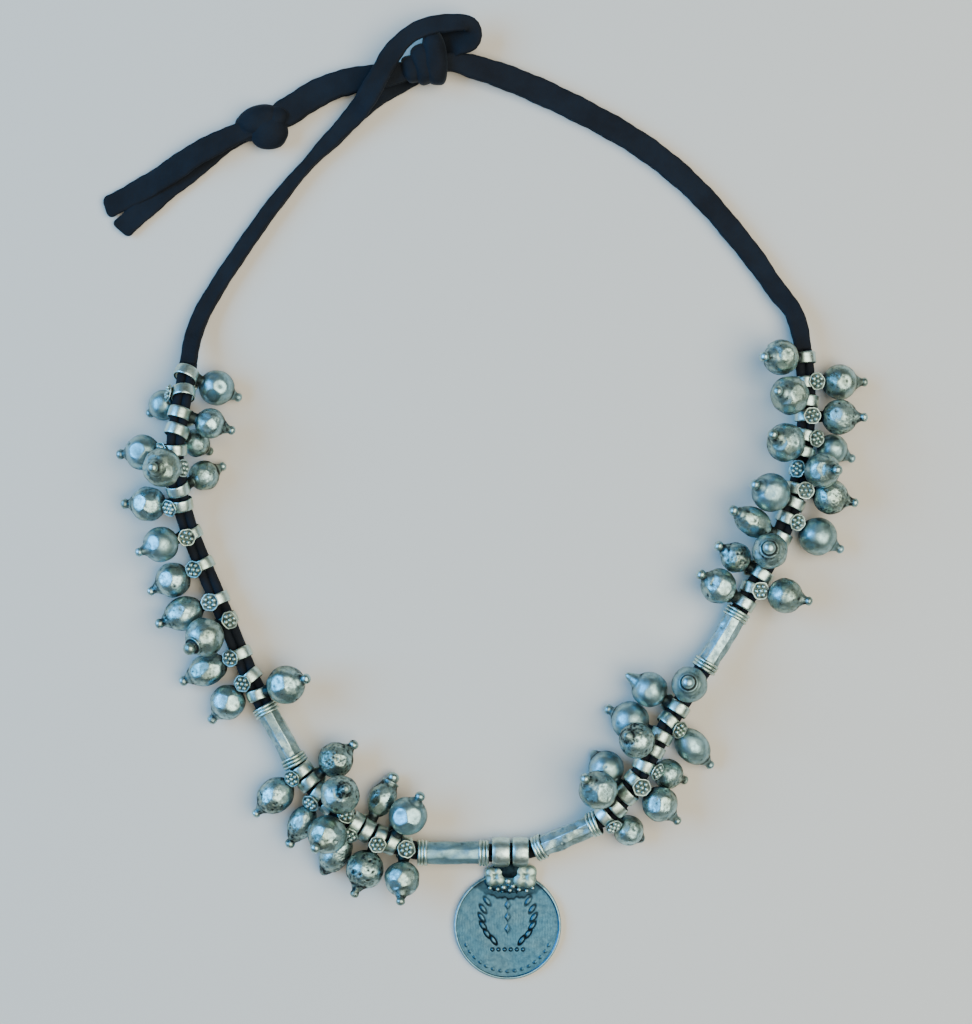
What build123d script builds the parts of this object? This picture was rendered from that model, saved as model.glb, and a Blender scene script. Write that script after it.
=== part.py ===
"""Coin necklace: silver drops, tube beads and a coin pendant on a doubled soft cord, lying flat."""
from build123d import *
import math
import os

os.makedirs("parts", exist_ok=True)

# Cord sizes, in millimetres
string_diameter = 3.4
neck_cord_diameter = 4.2
loop_strand_diameter = 2.4
tail_diameter = 3.0

# Sizes of a silver drop: ring round the cord, neck, ball, nipple and granulated rosette
ring_bore = 5.2
ring_wall = 0.5
ring_width = 2.9
neck_diameter = 2.6
neck_reach = 1.1
ball_diameter = 9.2
collar_diameter = 3.1
collar_height = 0.6
nipple_diameter = 2.2
nipple_reach = 3.0
rosette_diameter = 4.8
rosette_thickness = 0.6
rosette_lean = 20.0
rosette_shift = 1.2
rosette_lift = 0.35
rosette_stem_diameter = 2.2
rosette_rim_width = 0.3
rosette_rim_height = 0.35
granule_diameter = 1.0
granules_round = 6

# Sizes of a tube bead: faceted body, bore and a collar of two wires at each end
tube_facets = 8
tube_across_flats = 5.3
tube_bore = 4.5
collar_wire = 0.9
collar_wires = 2
collar_inset = 0.3

# Sizes of the coin pendant
coin_diameter = 28.0
coin_thickness = 1.5
coin_rim_width = 0.6
coin_rim_height = 0.3
relief_height = 0.3
bail_diameter = 7.7
bail_wall = 0.6
bail_widths = (4.6, 4.2)
bail_gap = 0.7
bail_centre_height = 4.2
bail_to_coin_centre = 19.7
bail_shift = -0.3
bail_point_index = 16
coin_shift = -0.7
bridge_reach = 2.2
bridge_thickness = 1.9
ornament_diameter = 5.2
ornament_thickness = 0.9
ornament_petals = 5
ornament_spread = 4.2
ornament_reach = 1.6

# Relief of the coin: two leaf sprays, a row of lozenges between them, and two rows of pellets
leaf_length = 2.6
leaf_width = 1.1
leaf_angle = 35.0
spray_radius = 8.6
spray_flattening = 0.9
spray_inset = 1.8
spray_rise = 2.2
spray_half_turn = 50.0
spray_leaves = 7
lozenge_width = 1.5
lozenge_height = 2.6
lozenge_pitch = 3.1
lozenge_top = 5.4
lozenges = 3
pellet_diameter = 0.8
word_pellets = 6
word_pellet_pitch = 1.6
word_pellet_drop = 6.2
rim_pellets = 15
rim_pellet_inset = 2.1
rim_pellet_start = 205.0
rim_pellet_turn = 130.0

# Clearances between pieces that are not soldered together
ring_gap = 0.15
ball_gap = 0.22
solder_sink = 0.15

# Route of the string through the beads, from its left end round to its right end
string_route = [
    (-78.2, 27.5, 7.0), (-78.8, 21.3, 9.8), (-80.0, 13.0, 12.0), (-81.2, 4.7, 11.8),
    (-81.0, -3.6, 8.8), (-79.6, -11.0, 6.2), (-77.0, -19.0, 5.0), (-73.3, -27.8, 4.8),
    (-68.9, -38.2, 4.9), (-64.8, -48.1, 5.1), (-59.8, -59.3, 5.6), (-49.1, -78.3, 6.6),
    (-42.1, -86.2, 7.4), (-35.6, -91.4, 7.3), (-29.4, -95.0, 6.2), (-19.8, -99.6, 4.7),
    (0.5, -99.7, 4.2), (10.7, -99.2, 4.3), (29.1, -90.8, 7.3), (35.5, -84.0, 8.6),
    (40.0, -76.2, 9.0), (43.9, -69.4, 8.4), (47.8, -62.9, 7.4), (54.1, -53.6, 6.4),
    (65.8, -34.6, 5.7), (71.8, -25.0, 5.5), (76.4, -15.1, 5.6), (79.8, -5.7, 5.6),
    (81.4, 3.6, 5.6), (82.2, 13.0, 5.4), (82.4, 22.4, 5.2), (81.4, 31.2, 4.8),
]

# Tube beads: place in the route of the point before each, and its length over the collars
tube_bead_point_index = {
    "tube_bead_left_upper": 10,
    "tube_bead_left_lower": 15,
    "tube_bead_right_lower": 17,
    "tube_bead_right_upper": 23,
}
tube_bead_lengths = {
    "tube_bead_left_upper": 17.8,
    "tube_bead_left_lower": 18.6,
    "tube_bead_right_lower": 18.3,
    "tube_bead_right_upper": 18.2,
}

# Kinds of drop: width and length of the ball as shares of ball_diameter
drop_kinds = {
    "round": (1.00, 1.00),
    "large": (1.09, 1.08),
    "small": (0.86, 0.86),
    "tiny": (0.78, 0.82),
    "thin": (0.78, 1.06),
    "long": (0.90, 1.18),
    "plump": (0.96, 1.14),
    "slim": (0.84, 1.22),
}

# Drops in string order: kind, share of the spare string before the ring, side, rise and lean.
# Rise is the angle of the drop above level, lean its angle along the string, both in degrees.
drop_rows = {
    "drops_left_upper": [
        ("round", 0.8, "in", -25, 14),
        ("small", 1.0, "out", -48, 12),
        ("small", 1.4, "in", -10, 8),
        ("tiny", 0.3, "in", -54, 16),
        ("round", 0.7, "out", -24, 6),
        ("large", 0.4, "out", 76, -18),
        ("small", 1.4, "in", -34, -8),
        ("round", 0.6, "out", -16, -4),
        ("round", 4.6, "out", 26, 6),
        ("round", 5.0, "out", 0, 4),
        ("plump", 6.4, "out", 11, 0),
        ("large", 2.4, "out", 56, 8),
        ("long", 5.8, "out", -4, 2),
        ("round", 2.6, "out", 0, 17),
        ("large", 0.4, "in", 29, 8),
    ],
    "drops_left_lower": [
        ("plump", 0.2, "out", -12, 4),
        ("round", 0.1, "in", 0, -2),
        ("thin", 0.1, "out", -20, 10),
        ("large", 0.3, "in", 68, -4),
        ("large", 1.2, "out", 54, 0),
        ("slim", 0.4, "out", -14, 2),
        ("thin", 0.1, "in", -15, 0),
        ("large", 0.5, "out", 16, 2),
        ("large", 0.4, "in", 20, 2),
        ("round", 0.3, "out", 44, 4),
    ],
    "drops_right_lower": [
        ("small", 0.6, "out", -26, 6),
        ("large", 0.1, "in", 40, 6),
        ("round", 0.3, "in", -26, 10),
        ("round", 0.1, "out", 8, -10),
        ("small", 0.6, "out", -32, 6),
        ("round", 1.0, "in", 64, -2),
        ("large", 0.6, "in", -20, -2),
        ("long", 0.5, "out", -20, -12),
        ("round", 0.5, "in", 2, 0),
        ("round", 2.8, "in", 86, 0),
    ],
    "drops_right_upper": [
        ("round", 0.4, "in", 30, 0),
        ("round", 0.5, "out", 10, 12),
        ("small", 0.5, "in", 18, 3),
        ("round", 1.8, "in", 86, 4),
        ("slim", 1.6, "in", 30, 4),
        ("large", 1.6, "out", -2, -3),
        ("large", 0.5, "in", 40, 8),
        ("round", 0.4, "out", 10, 0),
        ("round", 1.4, "out", 60, 4),
        ("large", 0.5, "in", 50, 12),
        ("small", 0.2, "out", -10, -14),
        ("round", 1.2, "out", 22, 0),
        ("large", 0.4, "in", 54, 6),
        ("round", 1.3, "out", -2, -3),
        ("round", 2.6, "in", 48, 2),
    ],
}

# Share of the spare string that follows the last ring of each bunch
trailing_shares = {
    "drops_left_upper": 1.2,
    "drops_left_lower": 0.6,
    "drops_right_lower": 3.8,
    "drops_right_upper": 0.4,
}

# Routes of the free cord, each from one end of its tube to the other
neck_cord_left_route = [
    (-78.2, 27.5, 7.0), (-77.6, 33.7, 4.2), (-76.2, 38.6, 3.0), (-73.8, 43.6, 2.3),
    (-69.7, 50.4, 2.1), (-64.2, 58.5, 2.1), (-58.2, 67.1, 2.1), (-52.3, 74.6, 2.1),
    (-46.3, 81.4, 2.1), (-41.6, 86.1, 2.3), (-37.7, 90.0, 2.6),
]
neck_cord_right_route = [
    (81.4, 31.2, 4.8), (80.4, 40.0, 4.4), (75.1, 46.3, 2.8), (69.7, 54.6, 2.1),
    (63.7, 62.1, 2.1), (56.2, 71.0, 2.1), (47.3, 79.3, 2.1), (37.2, 86.6, 2.1),
    (26.0, 92.8, 2.1), (14.3, 98.5, 2.2), (3.9, 102.7, 3.0), (-5.2, 105.3, 4.3),
    (-11.2, 106.5, 4.85),
]
closing_loop_route = [
    (-37.7, 90.0, 3.9), (-34.9, 92.8, 4.2), (-32.0, 96.4, 6.9), (-28.4, 101.6, 8.5),
    (-24.8, 108.6, 8.5), (-19.6, 114.8, 8.2), (-13.6, 117.2, 8.2), (-8.4, 117.5, 8.0),
    (-5.2, 116.5, 7.0), (-3.7, 114.4, 5.0), (-4.3, 112.2, 2.9), (-6.6, 110.4, 1.6),
    (-10.0, 107.4, 1.2), (-15.8, 104.2, 1.2), (-22.2, 101.6, 1.2), (-28.6, 98.0, 1.3),
    (-33.9, 93.8, 1.65), (-37.65, 90.05, 1.35),
]
tail_cord_route = [
    (-21.8, 103.6, 4.8), (-28.0, 102.6, 4.8), (-35.4, 101.8, 3.2), (-42.2, 100.0, 2.3),
    (-48.4, 96.6, 2.4), (-52.8, 93.2, 3.0),
]
tail_upper_route = [
    (-65.8, 87.6, 4.8), (-70.6, 85.2, 4.8), (-76.4, 82.4, 4.6), (-83.0, 78.0, 3.2),
    (-91.0, 73.2, 1.6), (-99.6, 68.8, 1.5),
]
tail_lower_route = [
    (-65.8, 87.6, 1.5), (-70.6, 85.2, 1.5), (-76.2, 80.0, 1.5), (-83.4, 74.0, 1.5),
    (-89.6, 68.6, 1.5), (-94.8, 62.2, 1.5),
]

# Knots: half width and height at the middle, and the height of the middle above the floor
closing_knot_half_width = 5.8
closing_knot_height = 5.4
closing_knot_middle = 6.1
stop_knot_half_width = 5.8
stop_knot_height = 7.0
stop_knot_middle = 3.6
knot_end_margin = 0.4

# Values that follow from the sizes above
ring_outer_radius = ring_bore / 2 + ring_wall
vertical = Vector(0, 0, 1)


def corner_radii(route):
    """Radius at each inner corner of a route, from its shorter run and half its turn."""
    radii = []
    for before, corner, after in zip(route, route[1:], route[2:]):
        run_in = Vector(corner) - Vector(before)
        run_out = Vector(after) - Vector(corner)
        half_turn = math.radians(run_in.get_angle(run_out)) / 2
        radii.append(0.45 * min(run_in.length, run_out.length) / math.tan(half_turn))
    return radii


def route_wire(route):
    """Straight runs joined by tangent arcs through the points of a route."""
    with BuildLine() as path:
        FilletPolyline(*route, radius=corner_radii(route))
    return path.wires()[0]


def cord_tube(route, diameter):
    """Round tube of a cord along its route."""
    wire = route_wire(route)
    with BuildPart() as tube:
        with BuildSketch(Plane(origin=wire @ 0, z_dir=wire % 0)):
            Circle(diameter / 2)
        sweep(path=wire)
    section = math.pi * diameter ** 2 / 4
    share = tube.part.volume / (section * wire.length)
    tightest = min(corner_radii(route))
    print(f"cord of {wire.length:.1f} mm, tightest radius {tightest:.1f}, volume share {share:.4f}")
    return tube.part


def write_piece(piece, name):
    """Label a finished piece and write its file."""
    piece.label = name
    export_step(piece, f"parts/{name}.step")


# String through the beads
string_wire = route_wire(string_route)


def string_distance(point):
    """Distance along the string of the place nearest to a point."""
    return string_wire.param_at_point(point) * string_wire.length


# Tube beads
tube_spans = []
for name, point_index in tube_bead_point_index.items():
    length = tube_bead_lengths[name]
    start = Vector(string_route[point_index])
    end = Vector(string_route[point_index + 1])
    middle = (start + end) / 2
    along = (end - start).normalized()
    wire_radius = collar_wire / 2
    wire_pitch = collar_wire - solder_sink
    collar_length = collar_inset + collar_wires * collar_wire + solder_sink
    collar_radius = tube_across_flats / 2 / math.cos(math.pi / tube_facets) + solder_sink
    side = Plane(origin=middle, x_dir=along, z_dir=along.cross(vertical))
    with BuildPart() as tube_bead:
        with BuildSketch(Plane(origin=middle - along * (length / 2 - collar_length), z_dir=along)):
            RegularPolygon(tube_across_flats / 2, tube_facets, major_radius=False)
            Circle(tube_bore / 2, mode=Mode.SUBTRACT)
        extrude(amount=length - 2 * collar_length)
        with BuildSketch(side):
            for end_sign in (-1, 1):
                collar_middle = end_sign * (length - collar_length) / 2
                sleeve_middle = (collar_radius + tube_bore / 2) / 2
                with Locations((collar_middle, sleeve_middle)):
                    Rectangle(collar_length, collar_radius - tube_bore / 2)
                for turn in range(collar_wires):
                    inset = collar_inset + wire_radius + turn * wire_pitch
                    with Locations((end_sign * (length / 2 - inset), collar_radius)):
                        Circle(wire_radius)
        revolve(axis=Axis(middle, along))
    write_piece(tube_bead.part, name)
    centre_distance = string_distance(middle)
    tube_spans.append((centre_distance - length / 2, centre_distance + length / 2))


# Silver drops, built along local X with the ring round local Y and the rosette facing local Z
def ball_reach(kind):
    """Distance from the middle of the ring to the middle of the ball."""
    return ring_outer_radius + neck_reach + ball_diameter * drop_kinds[kind][1] / 2


def drop_model(kind):
    """One soldered drop of a kind, with its ring at the origin."""
    width_share, length_share = drop_kinds[kind]
    half_width = ball_diameter * width_share / 2
    half_length = ball_diameter * length_share / 2
    reach = ball_reach(kind)
    neck_start = ring_bore / 2 + 0.2 * ring_wall
    collar_end = reach + half_length + collar_height
    nipple_end = reach + half_length + nipple_reach
    with BuildPart() as drop:
        with BuildSketch():
            with Locations((reach, 0)):
                Ellipse(half_length, half_width)
            with Locations((neck_start, 0)):
                Rectangle(reach - neck_start, neck_diameter, align=(Align.MIN, Align.CENTER))
            with Locations((reach, 0)):
                Rectangle(collar_end - reach, collar_diameter, align=(Align.MIN, Align.CENTER))
                Rectangle(
                    nipple_end - nipple_diameter / 2 - reach,
                    nipple_diameter,
                    align=(Align.MIN, Align.CENTER),
                )
            with Locations((nipple_end - nipple_diameter / 2, 0)):
                Circle(nipple_diameter / 2)
            split(bisect_by=Plane.XZ)
        revolve(axis=Axis.X)
        with BuildSketch(Plane.XZ):
            Circle(ring_outer_radius)
            Circle(ring_bore / 2, mode=Mode.SUBTRACT)
        extrude(amount=ring_width / 2, both=True)
        lean = math.radians(rosette_lean)
        facing = Vector(math.sin(lean), 0, math.cos(lean))
        outwards = Vector(math.cos(lean), 0, -math.sin(lean))
        seat = facing * (ring_outer_radius + rosette_lift) + outwards * rosette_shift
        disc = Plane(origin=seat, x_dir=outwards, z_dir=facing)
        with BuildSketch(disc):
            Circle(rosette_stem_diameter / 2)
        extrude(amount=-rosette_lift - ring_wall / 2 - rosette_shift / 2)
        with BuildSketch(disc):
            Circle(rosette_diameter / 2)
        extrude(amount=rosette_thickness)
        with BuildSketch(disc.offset(rosette_thickness)):
            Circle(rosette_diameter / 2)
            Circle(rosette_diameter / 2 - rosette_rim_width, mode=Mode.SUBTRACT)
        extrude(amount=rosette_rim_height)
        with Locations(disc.offset(rosette_thickness)):
            Sphere(granule_diameter / 2)
            with PolarLocations(granule_diameter * 1.4, granules_round):
                Sphere(granule_diameter / 2)
    return drop.part


def drop_spheres(kind, ring_centre, along, pointing):
    """Spheres that stand for a drop: those of its ball and nipple, its ring and its rosette."""
    width_share, length_share = drop_kinds[kind]
    radius = ball_diameter * width_share / 2
    stretch = max(0.0, ball_diameter * length_share / 2 - radius)
    ball = ring_centre + pointing * ball_reach(kind)
    collar_out = ball_diameter * length_share / 2
    nipple_out = collar_out + nipple_reach - nipple_diameter / 2
    body = [
        (ball - pointing * stretch, radius),
        (ball + pointing * stretch, radius),
        (ball + pointing * collar_out, collar_diameter / 2),
        (ball + pointing * nipple_out, nipple_diameter / 2),
    ]
    ring = [(ring_centre, math.hypot(ring_outer_radius, ring_width / 2))]
    lean = math.radians(rosette_lean)
    front = pointing.cross(along)
    facing = pointing * math.sin(lean) + front * math.cos(lean)
    outwards = pointing * math.cos(lean) - front * math.sin(lean)
    edge = (rosette_thickness + granule_diameter / 2) / 2
    lift = ring_outer_radius + rosette_lift + edge
    middle = ring_centre + facing * lift + outwards * rosette_shift
    round_radius = rosette_diameter / 2 - edge
    rosette = [(middle, edge)]
    for eighth in range(8):
        turn = math.pi * eighth / 4
        place = outwards * (round_radius * math.cos(turn)) + along * (round_radius * math.sin(turn))
        rosette.append((middle + place, edge))
    return body, ring, rosette


def is_clear(drop, others):
    """Whether a drop clears the floor and the drops placed before it."""
    body, ring, rosette = drop
    if any(centre.Z - radius < 0 for centre, radius in body):
        return False
    for other_body, other_ring, other_rosette in others:
        pairs = (
            (body, other_body + other_ring + other_rosette),
            (ring, other_body),
            (rosette, other_body + other_rosette),
        )
        for group, against in pairs:
            for centre, radius in group:
                for other_centre, other_radius in against:
                    if (centre - other_centre).length < radius + other_radius + ball_gap:
                        return False
    return True


def drop_place(row, distance, others):
    """Plane of a drop on the string, raised until it clears what lies below and beside it."""
    kind, _, side, rise, lean = row
    share = distance / string_wire.length
    ring_centre = string_wire @ share
    along = string_wire % share
    outward = along.cross(vertical).normalized()
    upward = outward.cross(along)
    sign = 1 if side == "out" else -1
    tilt = math.radians(lean)
    clear = False
    raised = rise - 1
    while not clear and raised < 90:
        raised += 1
        angle = math.radians(raised)
        level = outward * (sign * math.cos(angle)) + upward * math.sin(angle)
        pointing = level * math.cos(tilt) + along * math.sin(tilt)
        ring_axis = along * math.cos(tilt) - level * math.sin(tilt)
        drop = drop_spheres(kind, ring_centre, ring_axis, pointing)
        clear = is_clear(drop, others)
    if not clear:
        print(f"a {kind} drop at {distance:.0f} mm has no clear place")
    others.append(drop)
    return Plane(origin=ring_centre, x_dir=pointing, z_dir=pointing.cross(ring_axis))


def ring_lengths(rows):
    """Length of string that each leaning ring takes."""
    lengths = []
    for row in rows:
        lean = math.radians(abs(row[4]))
        lengths.append(ring_width * math.cos(lean) + 2 * ring_outer_radius * math.sin(lean))
    return lengths


drop_models = {kind: drop_model(kind) for kind in drop_kinds}
free_stretches = {
    "drops_left_upper": (0.0, tube_spans[0][0]),
    "drops_left_lower": (tube_spans[0][1], tube_spans[1][0]),
    "drops_right_lower": (tube_spans[2][1], tube_spans[3][0]),
    "drops_right_upper": (tube_spans[3][1], string_wire.length),
}
placed_drops = []
for name, rows in drop_rows.items():
    stretch_start, stretch_end = free_stretches[name]
    lengths = ring_lengths(rows)
    spare = stretch_end - stretch_start - sum(lengths) - ring_gap * (len(rows) + 1)
    share_sum = sum(row[1] for row in rows) + trailing_shares[name]
    print(f"{name}: {spare:.1f} mm of spare string")
    distance = stretch_start
    row_places = []
    for row, length in zip(rows, lengths):
        distance += ring_gap + spare * row[1] / share_sum + length / 2
        row_places.append((row, distance))
        distance += length / 2
    lowest_first = sorted(row_places, key=lambda row_place: row_place[0][3])
    drops = Compound(
        children=[
            drop_models[row[0]].moved(drop_place(row, place, placed_drops).location)
            for row, place in lowest_first
        ]
    )
    write_piece(drops, name)

# Coin pendant: coin, two band rings, petal ornaments and the solder between them, as one solid
bail_start = Vector(string_route[bail_point_index])
bail_end = Vector(string_route[bail_point_index + 1])
bail_middle = (bail_start + bail_end) / 2 + Vector(bail_shift, 0, 0)
coin_centre = Vector(bail_middle.X + coin_shift, bail_middle.Y - bail_to_coin_centre, 0)
bail_outer_radius = bail_diameter / 2
bail_edges = [
    -(bail_widths[0] + bail_gap + bail_widths[1]) / 2,
    (bail_widths[0] + bail_gap + bail_widths[1]) / 2 - bail_widths[1],
]
coin_radius = coin_diameter / 2
with BuildPart() as pendant:
    with BuildSketch(Plane(origin=coin_centre)):
        Circle(coin_radius)
    extrude(amount=coin_thickness)
    with BuildSketch(Plane(origin=coin_centre + vertical * coin_thickness)):
        Circle(coin_radius)
        Circle(coin_radius - coin_rim_width, mode=Mode.SUBTRACT)
    extrude(amount=coin_rim_height)
    with BuildSketch(Plane(origin=coin_centre + vertical * coin_thickness)):
        for spray_side in (-1, 1):
            for leaf in range(spray_leaves):
                turn = math.radians(spray_half_turn * (2 * leaf / (spray_leaves - 1) - 1))
                across = spray_side * (spray_radius * math.cos(turn) - spray_inset)
                up = spray_radius * spray_flattening * math.sin(turn) + spray_rise
                with Locations((across, up)):
                    Ellipse(leaf_length / 2, leaf_width / 2, rotation=90 - spray_side * leaf_angle)
        for row in range(lozenges):
            with Locations((0, lozenge_top - row * lozenge_pitch)):
                with BuildLine():
                    Polyline(
                        (-lozenge_width / 2, 0),
                        (0, lozenge_height / 2),
                        (lozenge_width / 2, 0),
                        (0, -lozenge_height / 2),
                        close=True,
                    )
                make_face()
        with Locations((0, -word_pellet_drop)):
            with GridLocations(word_pellet_pitch, 1, word_pellets, 1):
                Circle(pellet_diameter / 2)
        for pellet in range(rim_pellets):
            turn = math.radians(rim_pellet_start + rim_pellet_turn * pellet / (rim_pellets - 1))
            place = coin_radius - rim_pellet_inset
            with Locations((place * math.cos(turn), place * math.sin(turn))):
                Circle(pellet_diameter / 2)
    extrude(amount=relief_height)
    for edge, width in zip(bail_edges, bail_widths):
        ring_start = Vector(bail_middle.X + edge, bail_middle.Y, bail_centre_height)
        with BuildSketch(Plane(origin=ring_start, x_dir=(0, 1, 0), z_dir=(1, 0, 0))):
            Circle(bail_outer_radius)
            Circle(bail_outer_radius - bail_wall, mode=Mode.SUBTRACT)
        extrude(amount=width)
    bridge_top = bail_middle.Y - bail_outer_radius + bail_wall
    bridge_bottom = coin_centre.Y + coin_radius - bridge_reach
    bridge_width = bail_edges[1] + bail_widths[1] - bail_edges[0]
    bridge_height = (bail_centre_height - bridge_thickness) / 2
    with BuildSketch(Plane.XY.offset(bridge_height)):
        with Locations((bail_middle.X, (bridge_top + bridge_bottom) / 2)):
            Rectangle(bridge_width, bridge_top - bridge_bottom)
    extrude(amount=bridge_thickness)
    ornament_floor = coin_thickness + coin_rim_height / 2
    for ornament_side in (-1, 1):
        across = bail_middle.X + ornament_side * ornament_spread
        place = Vector(across, bridge_bottom + ornament_reach, ornament_floor)
        with BuildSketch(Plane(origin=place)):
            Circle(ornament_diameter / 4)
            with PolarLocations(ornament_diameter / 4, ornament_petals, start_angle=90):
                Circle(ornament_diameter / 4)
        extrude(amount=ornament_thickness)
        with Locations(place + vertical * ornament_thickness):
            Sphere(ornament_diameter / 8)
write_piece(pendant.part, "coin_pendant")

# Cord: the string, the two neck cords, the closing loop, the cord between the knots and the tails
write_piece(cord_tube(string_route, string_diameter), "strung_cord")
write_piece(cord_tube(neck_cord_left_route, neck_cord_diameter), "neck_cord_left")
write_piece(cord_tube(neck_cord_right_route, neck_cord_diameter), "neck_cord_right")
write_piece(cord_tube(closing_loop_route, loop_strand_diameter), "closing_loop")
write_piece(cord_tube(tail_cord_route, neck_cord_diameter), "tail_cord")
write_piece(cord_tube(tail_upper_route, tail_diameter), "tail_upper")
write_piece(cord_tube(tail_lower_route, tail_diameter), "tail_lower")


# Knots
def knot_model(start, start_direction, start_size, end, end_direction, end_size, middle, fat_size):
    """Plump knot lofted through flat ends that the cords meet face to face."""
    sections = [
        (start, start_direction, start_size),
        (start * 0.72 + middle * 0.28, end - start, (fat_size[0] * 0.85, fat_size[1] * 0.88)),
        (middle, end - start, fat_size),
        (end * 0.72 + middle * 0.28, end - start, (fat_size[0] * 0.85, fat_size[1] * 0.88)),
        (end, end_direction, end_size),
    ]
    with BuildPart() as knot:
        for centre, direction, size in sections:
            across = vertical.cross(direction).normalized()
            with BuildSketch(Plane(origin=centre, x_dir=across, z_dir=direction)):
                Ellipse(*size)
        loft()
    return knot.part


closing_start = Vector(neck_cord_right_route[-1])
closing_end = Vector(tail_cord_route[0])
closing_middle = (closing_start + closing_end) / 2
cord_face = neck_cord_diameter / 2 + knot_end_margin
closing_knot = knot_model(
    closing_start,
    closing_start - Vector(neck_cord_right_route[-2]),
    (cord_face, neck_cord_diameter / 2),
    closing_end,
    Vector(tail_cord_route[1]) - closing_end,
    (cord_face, neck_cord_diameter / 2),
    Vector(closing_middle.X, closing_middle.Y, closing_knot_middle),
    (closing_knot_half_width, closing_knot_height / 2),
)
write_piece(closing_knot, "closing_knot")

stop_start = Vector(tail_cord_route[-1])
stop_end = (Vector(tail_upper_route[0]) + Vector(tail_lower_route[0])) / 2
stop_middle = (stop_start + stop_end) / 2
stop_knot = knot_model(
    stop_start,
    stop_start - Vector(tail_cord_route[-2]),
    (cord_face, neck_cord_diameter / 2),
    stop_end,
    Vector(tail_upper_route[1]) - Vector(tail_upper_route[0]),
    (tail_diameter / 2 + knot_end_margin, tail_diameter),
    Vector(stop_middle.X, stop_middle.Y, stop_knot_middle),
    (stop_knot_half_width, stop_knot_height / 2),
)
write_piece(stop_knot, "stop_knot")
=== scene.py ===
"""Coin necklace on a pale floor, seen from straight above."""

import math
import random
from collections import namedtuple

import bmesh
import bpy
import numpy as np
from mathutils import Matrix, Vector


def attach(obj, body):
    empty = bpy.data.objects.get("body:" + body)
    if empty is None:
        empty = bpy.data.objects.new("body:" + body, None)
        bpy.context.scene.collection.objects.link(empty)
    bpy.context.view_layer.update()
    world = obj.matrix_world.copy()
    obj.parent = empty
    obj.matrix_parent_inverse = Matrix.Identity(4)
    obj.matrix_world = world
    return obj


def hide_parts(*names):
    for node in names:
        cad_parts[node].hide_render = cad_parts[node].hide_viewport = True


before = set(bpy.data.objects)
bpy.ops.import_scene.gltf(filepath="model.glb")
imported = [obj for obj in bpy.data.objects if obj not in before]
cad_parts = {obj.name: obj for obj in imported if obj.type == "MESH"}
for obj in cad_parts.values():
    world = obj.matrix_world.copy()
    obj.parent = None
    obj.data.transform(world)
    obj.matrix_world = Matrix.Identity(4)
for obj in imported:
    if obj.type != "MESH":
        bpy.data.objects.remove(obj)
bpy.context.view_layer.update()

MM = 0.001
UP = Vector((0, 0, 1))

# Camera straight above the middle of the photograph, in millimetres
pixel = 0.26
picture_size = (972, 1024)
origin_pixel = (490, 470)
camera_height = 600.0
view_level = 5.0
sensor_width = 36.0
camera_right = (picture_size[0] / 2 - origin_pixel[0]) * pixel
camera_up = (origin_pixel[1] - picture_size[1] / 2) * pixel
camera_data = bpy.data.cameras.new("camera")
camera_data.sensor_fit = "HORIZONTAL"
camera_data.sensor_width = sensor_width
camera_data.lens = sensor_width * (camera_height - view_level) / (picture_size[0] * pixel)
camera = bpy.data.objects.new("camera", camera_data)
camera.location = (camera_right * MM, camera_up * MM, camera_height * MM)
bpy.context.scene.collection.objects.link(camera)
bpy.context.scene.camera = camera

# Routes of the cord, in millimetres, as the solids have them. The loop's own comes further down.
string_route = [
    (-78.2, 27.5, 7.0), (-78.8, 21.3, 9.8), (-80.0, 13.0, 12.0), (-81.2, 4.7, 11.8),
    (-81.0, -3.6, 8.8), (-79.6, -11.0, 6.2), (-77.0, -19.0, 5.0), (-73.3, -27.8, 4.8),
    (-68.9, -38.2, 4.9), (-64.8, -48.1, 5.1), (-59.8, -59.3, 5.6), (-49.1, -78.3, 6.6),
    (-42.1, -86.2, 7.4), (-35.6, -91.4, 7.3), (-29.4, -95.0, 6.2), (-19.8, -99.6, 4.7),
    (0.5, -99.7, 4.2), (10.7, -99.2, 4.3), (29.1, -90.8, 7.3), (35.5, -84.0, 8.6),
    (40.0, -76.2, 9.0), (43.9, -69.4, 8.4), (47.8, -62.9, 7.4), (54.1, -53.6, 6.4),
    (65.8, -34.6, 5.7), (71.8, -25.0, 5.5), (76.4, -15.1, 5.6), (79.8, -5.7, 5.6),
    (81.4, 3.6, 5.6), (82.2, 13.0, 5.4), (82.4, 22.4, 5.2), (81.4, 31.2, 4.8),
]
neck_cord_left_route = [
    (-78.2, 27.5, 7.0), (-77.6, 33.7, 4.2), (-76.2, 38.6, 3.0), (-73.8, 43.6, 2.3),
    (-69.7, 50.4, 2.1), (-64.2, 58.5, 2.1), (-58.2, 67.1, 2.1), (-52.3, 74.6, 2.1),
    (-46.3, 81.4, 2.1), (-41.6, 86.1, 2.3), (-37.7, 90.0, 2.6),
]
neck_cord_right_route = [
    (81.4, 31.2, 4.8), (80.4, 40.0, 4.4), (75.1, 46.3, 2.8), (69.7, 54.6, 2.1),
    (63.7, 62.1, 2.1), (56.2, 71.0, 2.1), (47.3, 79.3, 2.1), (37.2, 86.6, 2.1),
    (26.0, 92.8, 2.1), (14.3, 98.5, 2.2), (3.9, 102.7, 3.0), (-5.2, 105.3, 4.3),
    (-11.2, 106.5, 4.85),
]
tail_cord_route = [
    (-21.8, 103.6, 4.8), (-28.0, 102.6, 4.8), (-35.4, 101.8, 3.2), (-42.2, 100.0, 2.3),
    (-48.4, 96.6, 2.4), (-52.8, 93.2, 3.0),
]
tail_upper_route = [
    (-65.8, 87.6, 4.8), (-70.6, 85.2, 4.8), (-76.4, 82.4, 4.6), (-83.0, 78.0, 3.2),
    (-91.0, 73.2, 1.6), (-99.6, 68.8, 1.5),
]
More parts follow.
